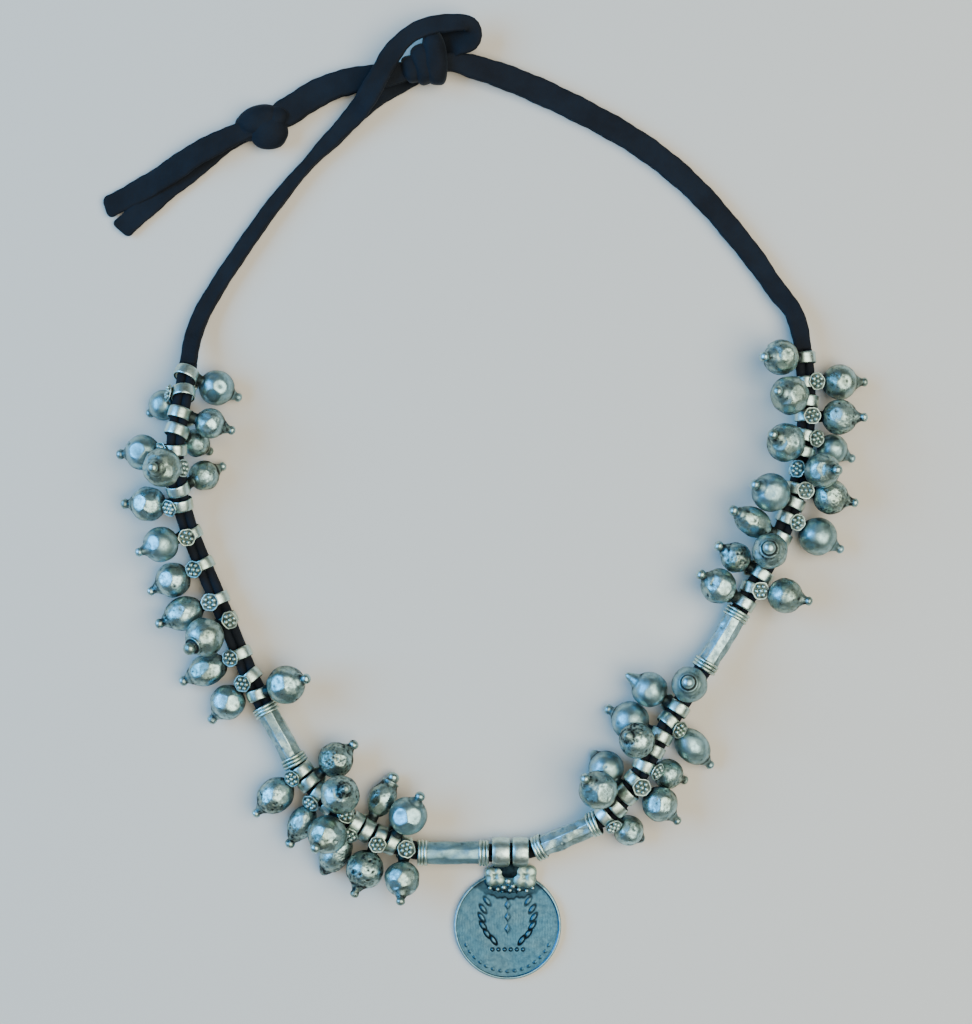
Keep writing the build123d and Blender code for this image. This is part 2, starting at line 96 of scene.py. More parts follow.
tail_lower_route = [
    (-65.8, 87.6, 1.5), (-70.6, 85.2, 1.5), (-76.2, 80.0, 1.5), (-83.4, 74.0, 1.5),
    (-89.6, 68.6, 1.5), (-94.8, 62.2, 1.5),
]


# Small helpers for materials
class Surface:
    """Node material round a principled shader, on the object's own coordinates."""

    def __init__(self, name):
        self.material = bpy.data.materials.new(name)
        self.material.use_nodes = True
        self.nodes = self.material.node_tree.nodes
        self.shader = self.nodes["Principled BSDF"].inputs
        self.coordinates = self.nodes.new("ShaderNodeTexCoord").outputs["Object"]

    def feed(self, socket, value):
        """Give a socket another socket, a colour or a number."""
        if isinstance(value, bpy.types.NodeSocket):
            self.material.node_tree.links.new(value, socket)
        else:
            socket.default_value = (*value, 1) if isinstance(value, tuple) else value

    def node(self, kind, values, **settings):
        """New node with values for its inputs by name or number, and settings of its own."""
        node = self.nodes.new("ShaderNode" + kind)
        for setting, value in settings.items():
            setattr(node, setting, value)
        for key, value in values.items():
            self.feed(node.inputs[key], value)
        return node

    def noise(self, scale, detail=3.0, roughness=0.55):
        """Noise texture."""
        values = {"Vector": self.coordinates, "Scale": scale, "Detail": detail, "Roughness": roughness}
        return self.node("TexNoise", values).outputs["Fac"]

    def cells(self, scale):
        """Distance from the middle of the nearest cell."""
        return self.node("TexVoronoi", {"Vector": self.coordinates, "Scale": scale}).outputs["Distance"]

    def ramp(self, value, low, high, low_colour=(0, 0, 0), high_colour=(1, 1, 1)):
        """Colour ramp between two places of a value."""
        ramp = self.node("ValToRGB", {"Fac": value})
        for element, place, colour in zip(ramp.color_ramp.elements, (low, high), (low_colour, high_colour)):
            element.position = place
            element.color = (*colour, 1)
        return ramp.outputs["Color"]

    def mix(self, factor, first, second, blend="MIX"):
        """Mix of two colours, on the sockets that the node keeps for them."""
        mix = self.node("Mix", {}, data_type="RGBA", blend_type=blend)
        for number, value in ((0, factor), (6, first), (7, second)):
            self.feed(mix.inputs[number], value)
        return mix.outputs[2]

    def calculate(self, operation, first, second):
        """Clamped sum, difference or product of two values."""
        return self.node("Math", {0: first, 1: second}, operation=operation, use_clamp=True).outputs[0]

    def bump(self, height, strength, distance, normal=None, sunken=False):
        """Bump from a height value, over an earlier bump where there is one."""
        values = {"Height": height, "Strength": strength, "Distance": distance}
        if normal is not None:
            values["Normal"] = normal
        return self.node("Bump", values, invert=sunken).outputs["Normal"]


# Colour of tarnish, also used for the painted shade on the balls' undersides.
dark_silver = (0.026, 0.034, 0.034)


def silver_material(name, bright, warm, shine, patina, relief, pits=0.0, tarnish_and_shade_colour=dark_silver):
    """Old hand-hammered silver: worn bright, mottled, dark where the mesh's tarnish attribute says so,
    which on the balls also holds painted shade.
    """
    surface = Surface(name)
    tarnish_and_shade = surface.node("Attribute", {}, attribute_name="tarnish_and_shade").outputs["Fac"]
    patches = surface.noise(150.0, 4.0)
    mottle = surface.noise(760.0, 6.0, 0.68)
    grain = surface.noise(3000.0)
    base = surface.mix(surface.ramp(patches, 0.38, 0.62), bright, warm)
    # The attribute's darkness is real tarnish, and on the balls also painted shade on their undersides.
    darkening = surface.calculate("MULTIPLY", tarnish_and_shade, 1.1)
    uneven = surface.calculate("SUBTRACT", mottle, 0.47)
    stain_and_shade = surface.calculate("ADD", darkening, surface.calculate("MULTIPLY", uneven, patina))
    normal = surface.bump(mottle, 0.35, relief)
    normal = surface.bump(grain, 0.15, 0.00004, normal)
    if pits > 0:
        hollows = surface.ramp(surface.cells(1100.0), 0.16, 0.60, (1, 1, 1), (0, 0, 0))
        pitted = surface.calculate("MULTIPLY", hollows, surface.ramp(patches, 0.40, 0.55))
        stain_and_shade = surface.calculate("ADD", stain_and_shade, surface.calculate("MULTIPLY", pitted, pits))
        normal = surface.bump(pitted, 0.5, 0.0002, normal, sunken=True)
    dark_share = surface.ramp(stain_and_shade, 0.06, 0.88)
    polish = surface.ramp(mottle, 0.35, 0.65, (shine,) * 3, (shine + 0.18,) * 3)
    surface.feed(surface.shader["Base Color"], surface.mix(dark_share, base, tarnish_and_shade_colour))
    surface.feed(surface.shader["Metallic"], 1.0)
    surface.feed(surface.shader["Roughness"], surface.mix(dark_share, polish, (0.60, 0.60, 0.60)))
    surface.feed(surface.shader["Normal"], normal)
    return surface.material


def cord_material():
    """Soft matt black knitted cord with a fine rib and a bluish sheen."""
    surface = Surface("black_cord")
    fibres = surface.noise(2600.0, 4.0, 0.7)
    base = surface.ramp(surface.noise(130.0), 0.35, 0.65, (0.0018, 0.003, 0.006), (0.004, 0.007, 0.013))
    lint = surface.ramp(fibres, 0.70, 0.84, (0, 0, 0), (0.04, 0.045, 0.05))
    knit = surface.bump(surface.cells(1700.0), 0.35, 0.0002)
    for socket, value in (
        ("Base Color", surface.mix(1.0, base, lint, "ADD")),
        ("Roughness", 0.8),
        ("Specular IOR Level", 0.25),
        ("Sheen Weight", 0.045),
        ("Sheen Roughness", 0.5),
        ("Sheen Tint", (0.4, 0.55, 0.75)),
        ("Normal", surface.bump(fibres, 0.25, 0.0001, knit)),
    ):
        surface.feed(surface.shader[socket], value)
    return surface.material


# Silver finishes: bright and warm colour, roughness, patina and relief in metres
old_silver = silver_material("old_silver", (0.43, 0.64, 0.65), (0.33, 0.44, 0.38), 0.25, 2.6, 0.00034)
smooth_silver = silver_material("smooth_silver", (0.36, 0.57, 0.61), (0.29, 0.43, 0.42), 0.31, 1.3, 0.00012)
pitted_silver = silver_material(
    "pitted_silver", (0.45, 0.65, 0.63), (0.34, 0.44, 0.37), 0.26, 3.0, 0.00040, pits=0.5
)
ring_silver = silver_material("ring_silver", (0.62, 0.80, 0.76), (0.50, 0.62, 0.53), 0.27, 1.0, 0.00010)
tube_silver = silver_material("tube_silver", (0.43, 0.64, 0.68), (0.33, 0.46, 0.44), 0.28, 2.0, 0.00016)
plain_silver = silver_material("plain_silver", (0.27, 0.47, 0.54), (0.23, 0.38, 0.41), 0.42, 1.0, 0.00008)
petal_silver = silver_material("petal_silver", (0.50, 0.68, 0.60), (0.40, 0.54, 0.46), 0.42, 1.0, 0.00010)
coin_silver = silver_material(
    "coin_silver", (0.050, 0.134, 0.196), (0.066, 0.144, 0.192), 0.34, 0.7, 0.00004,
    tarnish_and_shade_colour=(0.006, 0.010, 0.012),
)
black_cord = cord_material()


# Mesh helpers, in millimetres until the mesh is made
class Shape:
    """Points, faces, materials and tarnish of a piece that is being built; on the balls the tarnish also
    holds painted shade.
    """

    def __init__(self):
        self.points = []
        self.faces = []
        self.tarnish_and_shade = []
        self.slots = []
        self.count = 0

    def join(self, other):
        """Take over all the parts of another shape."""
        self.points.extend(other.points)
        self.faces.extend([self.count + index for index in face] for face in other.faces)
        self.slots.extend(other.slots)
        self.tarnish_and_shade.extend(other.tarnish_and_shade)
        self.count += other.count

    def add(self, points, faces, tarnish_and_shade, slot=0):
        """Add points with faces that count from them; tarnish, with any painted shade, is one value or one
        for each point.
        """
        points = np.array([tuple(point) for point in points]) if isinstance(points, list) else points
        self.points.append(points)
        self.faces.extend([self.count + index for index in face] for face in faces)
        self.slots.extend([slot] * len(faces))
        self.tarnish_and_shade.append(np.broadcast_to(np.asarray(tarnish_and_shade, dtype=float), (len(points),)))
        self.count += len(points)

    def placed(self, matrix):
        """Move all the points by a matrix."""
        turn = np.array(matrix.to_3x3())
        shift = np.array(matrix.translation)
        self.points = [points @ turn.T + shift for points in self.points]
        return self

    def make(self, name, materials, nodes, slot):
        """Make the object, ride it and let it stand for its solids."""
        mesh = bpy.data.meshes.new(name)
        mesh.from_pydata((np.concatenate(self.points) * MM).tolist(), [], self.faces)
        # The tarnish attribute also carries the painted shade on the balls' undersides.
        attribute = mesh.attributes.new("tarnish_and_shade", "FLOAT", "POINT")
        attribute.data.foreach_set("value", np.concatenate(self.tarnish_and_shade).astype(np.float32))
        for material in materials:
            mesh.materials.append(material)
        mesh.polygons.foreach_set("material_index", self.slots)
        mesh.polygons.foreach_set("use_smooth", [True] * len(mesh.polygons))
        working = bmesh.new()
        working.from_mesh(mesh)
        bmesh.ops.recalc_face_normals(working, faces=working.faces)
        working.to_mesh(mesh)
        working.free()
        piece = bpy.data.objects.new(name, mesh)
        bpy.context.scene.collection.objects.link(piece)
        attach(piece, "root")
        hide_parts(*nodes)
        return piece


def ring_faces(rings, around, closed_start=False, closed_end=False, joined=False):
    """Faces between rings of points, with caps at the ends or the last ring joined to the first."""
    faces = []
    count = rings if joined else rings - 1
    for ring in range(count):
        following = (ring + 1) % rings
        for side in range(around):
            beside = (side + 1) % around
            faces.append([
                ring * around + side, ring * around + beside,
                following * around + beside, following * around + side,
            ])
    if closed_start:
        faces.append(list(range(around)))
    if closed_end:
        faces.append([(rings - 1) * around + side for side in range(around)])
    return faces


def pole_faces(rings, around):
    """Faces of a closed form: a first pole, rings of points and a last pole."""
    last = 1 + rings * around
    faces = [[1 + index for index in face] for face in ring_faces(rings, around)]
    for side in range(around):
        beside = (side + 1) % around
        faces.append([0, 1 + beside, 1 + side])
        faces.append([last, last - around + side, last - around + beside])
    return faces


def full_turn(count):
    """Angles spread evenly over a full turn."""
    return 2 * np.pi * np.arange(count) / count


def lathe_points(profile, around):
    """Rings of points about X for a profile of (x, radius)."""
    turns = full_turn(around)
    rings = [
        np.stack([np.full(around, along), radius * np.cos(turns), radius * np.sin(turns)], axis=1)
        for along, radius in profile
    ]
    return np.concatenate(rings)


def unit_ball(around, steps):
    """Points of a ball of radius 1: a pole, rings about X and the other pole."""
    turns = np.pi * np.arange(1, steps) / steps
    middle = lathe_points(zip(-np.cos(turns), np.sin(turns)), around)
    return np.concatenate([[[-1, 0, 0]], middle, [[1, 0, 0]]])


def add_ellipsoid(shape, centre, radii, around, steps, tarnish_and_shade, slot=0):
    """Ellipsoid added to a shape."""
    points = unit_ball(around, steps) * np.array(radii) + np.array(centre)
    shape.add(points, pole_faces(steps - 1, around), tarnish_and_shade, slot)


def smooth_step(value, low, high):
    """Smooth rise from 0 at low to 1 at high, for a number or an array."""
    share = np.clip((value - low) / (high - low), 0.0, 1.0)
    return share * share * (3 - 2 * share)


def route_line(points):
    """Points of the smooth spline whose control points are a route's points, in millimetres."""
    data = bpy.data.curves.new("route", "CURVE")
    data.dimensions = "3D"
    spline = data.splines.new("NURBS")
    spline.points.add(len(points) - 1)
    for place, point in zip(spline.points, points):
        place.co = (*point, 1)
    spline.order_u = 3
    spline.use_endpoint_u = True
    spline.resolution_u = 10
    holder = bpy.data.objects.new("route", data)
    bpy.context.scene.collection.objects.link(holder)
    mesh = bpy.data.meshes.new_from_object(holder)
    line = [vertex.co.copy() for vertex in mesh.vertices]
    bpy.data.objects.remove(holder)
    bpy.data.curves.remove(data)
    bpy.data.meshes.remove(mesh)
    return line


class Line:
    """Measured line of points, with places and directions by distance along it."""

    def __init__(self, points):
        self.points = points
        self.marks = [0.0]
        for before, after in zip(points, points[1:]):
            self.marks.append(self.marks[-1] + (after - before).length)
        self.length = self.marks[-1]

    def at(self, distance):
        """Point at a distance along the line."""
        index = int(np.searchsorted(self.marks, distance))
        index = min(max(index, 1), len(self.points) - 1)
        span = self.marks[index] - self.marks[index - 1]
        share = (distance - self.marks[index - 1]) / max(span, 1e-9)
        return self.points[index - 1].lerp(self.points[index], share)

    def place(self, distance):
        """Point and direction at a distance along the line."""
        reach = 0.8
        distance = min(max(distance, 0.0), self.length)
        low = min(max(distance - reach, 0.0), self.length - 2 * reach)
        direction = (self.at(low + 2 * reach) - self.at(low)).normalized()
        return self.at(distance), direction

    def nearest(self, point):
        """Distance along the line of its place nearest to a point."""
        return self.marks[min(range(len(self.points)), key=lambda i: (self.points[i] - point).length)]


def value_at(table, share):
    """Value from a table of (share, value) at a share, with smooth steps between them."""
    if share <= table[0][0]:
        return table[0][1]
    for (low, first), (high, second) in zip(table, table[1:]):
        if share <= high:
            return first + (second - first) * smooth_step(share, low, high)
    return table[-1][1]


strap_around = 28
strap_corner_steps = 6


def strap_section(width, thickness, power, groove):
    """Flat soft section as (across, up) pairs, thicker at its rolled edges."""
    section = []
    for side in range(strap_around):
        turn = 2 * math.pi * side / strap_around
        across = math.copysign(abs(math.cos(turn)) ** power, math.cos(turn))
        up = math.copysign(abs(math.sin(turn)) ** power, math.sin(turn))
        waist = 1 - groove * (1 - across ** 2) ** 2
        section.append((across * width / 2, up * thickness / 2 * waist))
    return section


def sweep_strap(shape, line, widths, thicknesses, rolls=((0, 0),), cut=0.0, power=0.66, groove=0.3,
                step=0.8, corner=0.0):
    """Strap swept along a line; widths, thicknesses and rolls are tables by share of its length."""
    stations = max(4, int(line.length / step))
    shares = [station / stations for station in range(stations + 1)]
    if corner > 0:
        shares = [share for share in shares if share < 1 - corner / line.length]
        for part in range(strap_corner_steps + 1):
            from_end = corner * (1 - math.sin(math.pi / 2 * part / strap_corner_steps))
            shares.append(1 - from_end / line.length)
    points = []
    for share in shares:
        centre, direction = line.place(share * line.length)
        across = UP.cross(direction).normalized()
        up = direction.cross(across)
        roll = math.radians(value_at(rolls, share))
        side = across * math.cos(roll) + up * math.sin(roll)
        face = up * math.cos(roll) - across * math.sin(roll)
        distance = share * line.length
        swell = 1 + 0.025 * math.sin(distance * 0.61 + line.length) + 0.018 * math.sin(distance * 1.7)
        width = value_at(widths, share) * swell
        thickness = value_at(thicknesses, share) / swell
        to_end = line.length - distance
        if to_end < corner:
            width -= 2 * (corner - math.sqrt(corner ** 2 - (corner - to_end) ** 2))
            thickness *= 0.75 + 0.25 * to_end / corner
        for out, rise in strap_section(width, thickness, power, groove):
            skew = direction * cut * out * smooth_step(share, 1 - 5 / line.length, 1)
            points.append(centre + side * out + face * rise + skew)
    shape.add(points, ring_faces(len(shares), strap_around, True, True), 0.0)


def raised(route, lift, aside=0.0):
    """Route lifted, and moved sideways across its general direction."""
    points = []
    for index, point in enumerate(route):
        before = Vector(route[max(index - 1, 0)])
        after = Vector(route[min(index + 1, len(route) - 1)])
        across = UP.cross(after - before).normalized()
        points.append(tuple(Vector(point) + across * aside + UP * lift))
    return points


# Left strap: up the neck, round the closing loop and back down, folded double. Along the loop its points
# are the solid's, moved to the flat strap's own fold.
loop_strap_route = [
    (-37.7, 90.0, 3.9), (-34.9, 92.8, 4.2), (-32.0, 96.4, 6.9), (-28.7, 101.8, 8.5), (-25.4, 107.9, 8.6),
    (-20.8, 112.8, 8.6), (-15.0, 115.2, 8.5), (-9.6, 115.6, 8.5), (-6.3, 115.8, 8.3), (-4.6, 114.8, 7.7),
    (-4.4, 113.1, 7.0), (-5.8, 111.7, 6.4), (-9.0, 111.5, 5.4), (-12.8, 109.8, 3.5), (-16.5, 105.8, 1.5),
    (-22.2, 101.6, 1.2), (-28.6, 98.0, 1.3), (-33.9, 93.8, 1.65), (-37.65, 90.05, 1.35),
]
left_strap_route = (
    raised(neck_cord_left_route, 0.95)[:-1]
    + loop_strap_route
    + raised(neck_cord_left_route, -0.95)[-2::-1]
)
left_line = Line(route_line(left_strap_route))
left_widths = [
    (0.0, 4.3), (0.04, 4.4), (0.12, 4.1), (0.2, 3.9), (0.256, 3.1), (0.30, 4.5), (0.34, 5.6), (0.40, 5.3),
    (0.44, 4.6), (0.475, 4.8), (0.495, 4.1), (0.505, 4.4), (0.52, 7.4), (0.55, 8.4), (0.585, 5.4),
    (0.62, 4.4), (0.7, 4.4), (0.745, 3.0), (0.8, 3.8), (0.88, 4.0), (0.96, 4.3), (1.0, 4.2),
]
left_thicknesses = [(0.0, 1.6), (0.04, 1.7), (0.35, 1.7), (0.5, 1.6), (0.65, 1.7), (1.0, 1.6)]
left_rolls = [(0.0, 0), (0.505, 0), (0.53, 12), (0.56, 8), (0.59, 0), (1.0, 0)]
left_strap = Shape()
sweep_strap(left_strap, left_line, left_widths, left_thicknesses, left_rolls)
left_piece = left_strap.make(
    "neck_strap_left", [black_cord], ["neck_cord_left", "closing_loop"], "black_cord"
)

# Right strap: two strands from the beads through both knots, each ending in a cut tail
upper_end_route = tail_upper_route[:-1] + [(-100.6, 68.4, 1.5)]
lower_end_route = tail_lower_route[:3] + [(-83.4, 74.8, 1.5), (-90.3, 68.7, 1.5), (-96.8, 62.6, 1.5)]
right_strand_upper_route = (
    raised(neck_cord_right_route, 0.85) + raised(tail_cord_route, 0.85) + upper_end_route
)
right_strand_lower_route = (
    raised(neck_cord_right_route, -0.75) + raised(tail_cord_route, -0.85) + lower_end_route
)
strand_widths = [
    (0.0, 4.3), (0.03, 4.6), (0.08, 5.0), (0.15, 5.6), (0.3, 6.3), (0.45, 6.6), (0.52, 6.2), (0.555, 4.8),
    (0.6, 4.6), (0.64, 6.2), (0.71, 7.0), (0.755, 7.3), (0.78, 5.4), (0.8, 4.6), (0.845, 5.9), (0.9, 6.2),
    (0.95, 6.1), (1.0, 5.6),
]
strand_thicknesses = [(0.0, 1.5), (0.5, 1.5), (0.8, 1.6), (1.0, 1.4)]
right_upper_line = Line(route_line(right_strand_upper_route))
right_lower_line = Line(route_line(right_strand_lower_route))
upper_strand = Shape()
sweep_strap(upper_strand, right_upper_line, strand_widths, strand_thicknesses, cut=0.15, corner=1.5)
lower_strand = Shape()
sweep_strap(lower_strand, right_lower_line, strand_widths, strand_thicknesses, cut=-0.1, corner=1.3)
upper_piece = upper_strand.make(
    "neck_strap_right_upper", [black_cord], ["neck_cord_right", "tail_cord", "tail_upper"], "black_cord"
)
lower_piece = lower_strand.make("neck_strap_right_lower", [black_cord], ["tail_lower"], "black_cord")


# Knots
lump_around = 44
lump_steps = 26


def soft_lump(shape, centre, radii, turn, tip=0.0, square=0.8):
    """Puffy turn of strap: a squared ellipsoid, turned in the plan and tipped."""
    unit = unit_ball(lump_around, lump_steps)
    unit = np.sign(unit) * np.abs(unit) ** square
    ripple = 1 + 0.025 * np.sin(unit @ np.array([3.1, 4.3, 2.2]) + centre[0])
    points = unit * ripple[:, None] * np.array(radii)
    turned = Matrix.Rotation(math.radians(turn), 3, "Z") @ Matrix.Rotation(math.radians(tip), 3, "X")
    points = points @ np.array(turned).T + np.array(centre)
    shape.add(points, pole_faces(lump_steps - 1, lump_around), 0.0)


closing_knot = Shape()
soft_lump(closing_knot, (-14.4, 107.1, 5.3), (3.2, 7.1, 3.9), 6, 0, 0.7)
soft_lump(closing_knot, (-17.6, 105.4, 5.2), (2.6, 5.2, 3.6), 14, 0, 0.66)
soft_lump(closing_knot, (-20.4, 104.2, 5.0), (2.4, 3.6, 3.2), 20, 0, 0.7)
closing_piece = closing_knot.make("closing_knot_wraps", [black_cord], ["closing_knot"], "black_cord")

stop_knot = Shape()
soft_lump(stop_knot, (-60.1, 91.1, 3.6), (5.6, 3.9, 3.2), 14, 4, 0.84)
soft_lump(stop_knot, (-57.6, 88.3, 3.4), (4.9, 4.6, 3.1), 10, 6, 0.82)
soft_lump(stop_knot, (-62.9, 89.5, 3.1), (3.2, 3.7, 2.6), 30, 0, 0.86)
soft_lump(stop_knot, (-55.6, 91.6, 3.4), (2.8, 3.2, 2.8), -34, 0, 0.8)
stop_piece = stop_knot.make("stop_knot_wraps", [black_cord], ["stop_knot"], "black_cord")


# String through the beads: two strands side by side
string_line = Line(route_line(string_route))
string_shape = Shape()
for aside in (-1.15, 1.15):
    strand = Line(route_line(raised(string_route, 0.0, aside)))
    sweep_strap(string_shape, strand, [(0, 2.4)], [(0, 2.5)], power=0.85, groove=0.0, step=1.2)
string_shape.make("strung_cord_strands", [black_cord], ["strung_cord"], "black_cord")


def frame_matrix(origin, x_axis, z_axis):
    """Matrix with the given X and near Z axes."""
    x_axis = Vector(x_axis).normalized()
    y_axis = Vector(z_axis).cross(x_axis).normalized()
    z_axis = x_axis.cross(y_axis)
    matrix = Matrix((x_axis, y_axis, z_axis)).transposed().to_4x4()
    matrix.translation = Vector(origin)
    return matrix


# Tube beads: hammered eight-sided tubes with three wires at each end
# Point before the tube, length, seed, share of flats and silver
tube_beads = {
    "tube_bead_left_upper": (10, 17.8, 11, 0.96, tube_silver),
    "tube_bead_left_lower": (15, 18.6, 12, 0.3, plain_silver),
    "tube_bead_right_lower": (17, 18.3, 13, 0.9, tube_silver),
    "tube_bead_right_upper": (23, 18.2, 14, 0.92, tube_silver),
}
tube_flat_radius = 2.65
tube_round_radius = 3.0
tube_around = 96
tube_steps = 70
tube_waves = 8
tube_dents = 16
tube_end_inset = 0.9
collar_radius = 2.98
collar_around = 48
wires_an_end = 3
wire_radius = 0.42
wire_sides = 12
wire_pitch = 0.88
tube_sleeve = [(-0.3, 2.3), (-0.32, 2.75), (0.1, 2.85), (2.2, 2.85), (2.35, 2.6)]
tube_spans = []


def tube_shape(length, seed, faceted):
    """Hammered tube along X with its collars."""
    chance = random.Random(seed)
    shape = Shape()
    reach = length / 2 - tube_end_inset
    stations = np.linspace(-reach, reach, tube_steps + 1)
    along, turn = np.meshgrid(stations, full_turn(tube_around), indexing="ij")
    within = (turn + np.pi / 8) % (np.pi / 4) - np.pi / 8
    radius = faceted * tube_flat_radius / np.cos(within) + (1 - faceted) * tube_round_radius
    marks = 0.08 + 0.5 * smooth_step(np.abs(along), length / 2 - 2.8, length / 2 - 1.6)
    for _ in range(tube_waves):
        pace, phase = chance.uniform(0.3, 1.4), chance.uniform(0, 6.28)
        radius = radius + 0.03 * np.sin(along * pace + phase + chance.randint(1, 5) * turn)
    for _ in range(tube_dents):
        spot, side = chance.uniform(-reach, reach), chance.uniform(0, 2 * math.pi)
        size, depth = chance.uniform(0.5, 1.7), chance.uniform(0.03, 0.16)
        swing = (turn - side + np.pi) % (2 * np.pi) - np.pi
        share = np.clip(1 - ((along - spot) ** 2 + (swing * tube_flat_radius) ** 2) / size ** 2, 0, 1)
        radius = radius - depth * share ** 2
        marks = marks + (0.35 * share ** 2 if size < 0.9 else 0)
    bend = chance.uniform(-0.3, 0.3) * (1 - (along / reach) ** 2)
    points = np.stack([along, radius * np.cos(turn) + bend, radius * np.sin(turn)], axis=-1)
    shape.add(points.reshape(-1, 3), ring_faces(tube_steps + 1, tube_around), marks.reshape(-1))
    angles = full_turn(wire_sides)
    wire_along = wire_radius * np.cos(angles)
    wire_out = collar_radius + wire_radius * np.sin(angles)
    for end in (-1, 1):
        sleeve = [(end * (length / 2 - 0.3 - inset), width) for inset, width in tube_sleeve]
        shape.add(lathe_points(sleeve, collar_around), ring_faces(len(sleeve), collar_around), 0.9)
        for wire in range(wires_an_end):
            middle = end * (length / 2 - 0.45 - wire * wire_pitch)
            points = lathe_points(zip(middle + wire_along, wire_out), collar_around)
            outside = np.hypot(points[:, 1], points[:, 2])
            marks = 0.8 - 0.78 * smooth_step(outside, collar_radius, collar_radius + 0.25)
            points[:, 0] += 0.07 * np.sin(2 * np.arctan2(points[:, 2], points[:, 1]) + wire + seed)
            shape.add(points, ring_faces(wire_sides, collar_around, joined=True), marks, 1)
    return shape


for name, (point_index, length, seed, faceted, material) in tube_beads.items():
    first = Vector(string_route[point_index])
    second = Vector(string_route[point_index + 1])
    middle = (first + second) / 2
    shape = tube_shape(length, seed, faceted)
    shape.placed(frame_matrix(middle, second - first, UP))
    shape.make(name + "_hammered", [material, ring_silver], [name], "old_silver")
    centre = string_line.nearest(middle)
    tube_spans.append((centre - length / 2, centre + length / 2))


# Silver drops: sizes as the solids have them
ring_bore = 5.2
ring_wall = 0.5
ring_width = 2.9
ring_gap = 0.15
neck_reach = 1.1
ball_diameter = 9.2
rosette_lean = 20.0
rosette_shift = 1.2
rosette_lift = 0.35
ring_outer_radius = ring_bore / 2 + ring_wall

# Width and length of each kind of ball, as shares of the ball's diameter
drop_kinds = {
    "round": (1.00, 1.00),
    "large": (1.09, 1.08),
    "small": (0.86, 0.86),
    "tiny": (0.78, 0.82),
    "thin": (0.78, 1.06),
    "long": (0.90, 1.18),
    "plump": (0.96, 1.14),
    "slim": (0.84, 1.22),
}

# Tips: (distance past the ball, radius, tarnish) from the ball outwards
tip_profiles = {
    "fine": [
        (-0.05, 1.7, 0.3), (0.3, 1.42, 0.4), (0.7, 1.2, 0.5), (1.05, 1.05, 0.5), (1.25, 1.02, 0.45),
        (1.5, 1.12, 0.2), (1.85, 1.2, 0.02), (2.2, 1.12, 0.0), (2.5, 0.86, 0.0), (2.7, 0.52, 0.0),
        (2.8, 0.2, 0.0),
    ],
    "bead": [
        (-0.1, 1.8, 0.2), (0.15, 1.52, 0.4), (0.45, 1.26, 0.55), (0.7, 1.12, 0.6), (0.9, 1.14, 0.45),
        (1.2, 1.3, 0.1), (1.6, 1.36, 0.0), (2.05, 1.26, 0.0), (2.4, 0.98, 0.0), (2.62, 0.6, 0.0),
        (2.7, 0.22, 0.0),
    ],
    "big": [
        (-0.4, 2.15, 0.5), (-0.2, 2.4, 0.1), (0.0, 2.42, 0.0), (0.12, 2.25, 0.3), (0.1, 1.95, 0.85),
        (0.15, 1.7, 0.9), (0.4, 1.5, 0.6), (0.7, 1.42, 0.5), (1.0, 1.56, 0.1), (1.4, 1.66, 0.0),
        (1.9, 1.58, 0.0), (2.35, 1.28, 0.0), (2.65, 0.82, 0.0), (2.78, 0.3, 0.0),
    ],
    "cone": [
        (-0.1, 1.9, 0.2), (0.3, 1.66, 0.2), (0.9, 1.38, 0.15), (1.5, 1.14, 0.1), (2.1, 0.92, 0.05),
        (2.5, 0.72, 0.0), (2.75, 0.44, 0.0), (2.84, 0.16, 0.0),
    ],
    "stub": [
        (-0.05, 1.7, 0.5), (0.25, 1.45, 0.55), (0.6, 1.25, 0.35), (0.95, 1.05, 0.2), (1.25, 0.78, 0.1),
        (1.45, 0.45, 0.1), (1.52, 0.16, 0.1),
    ],
}

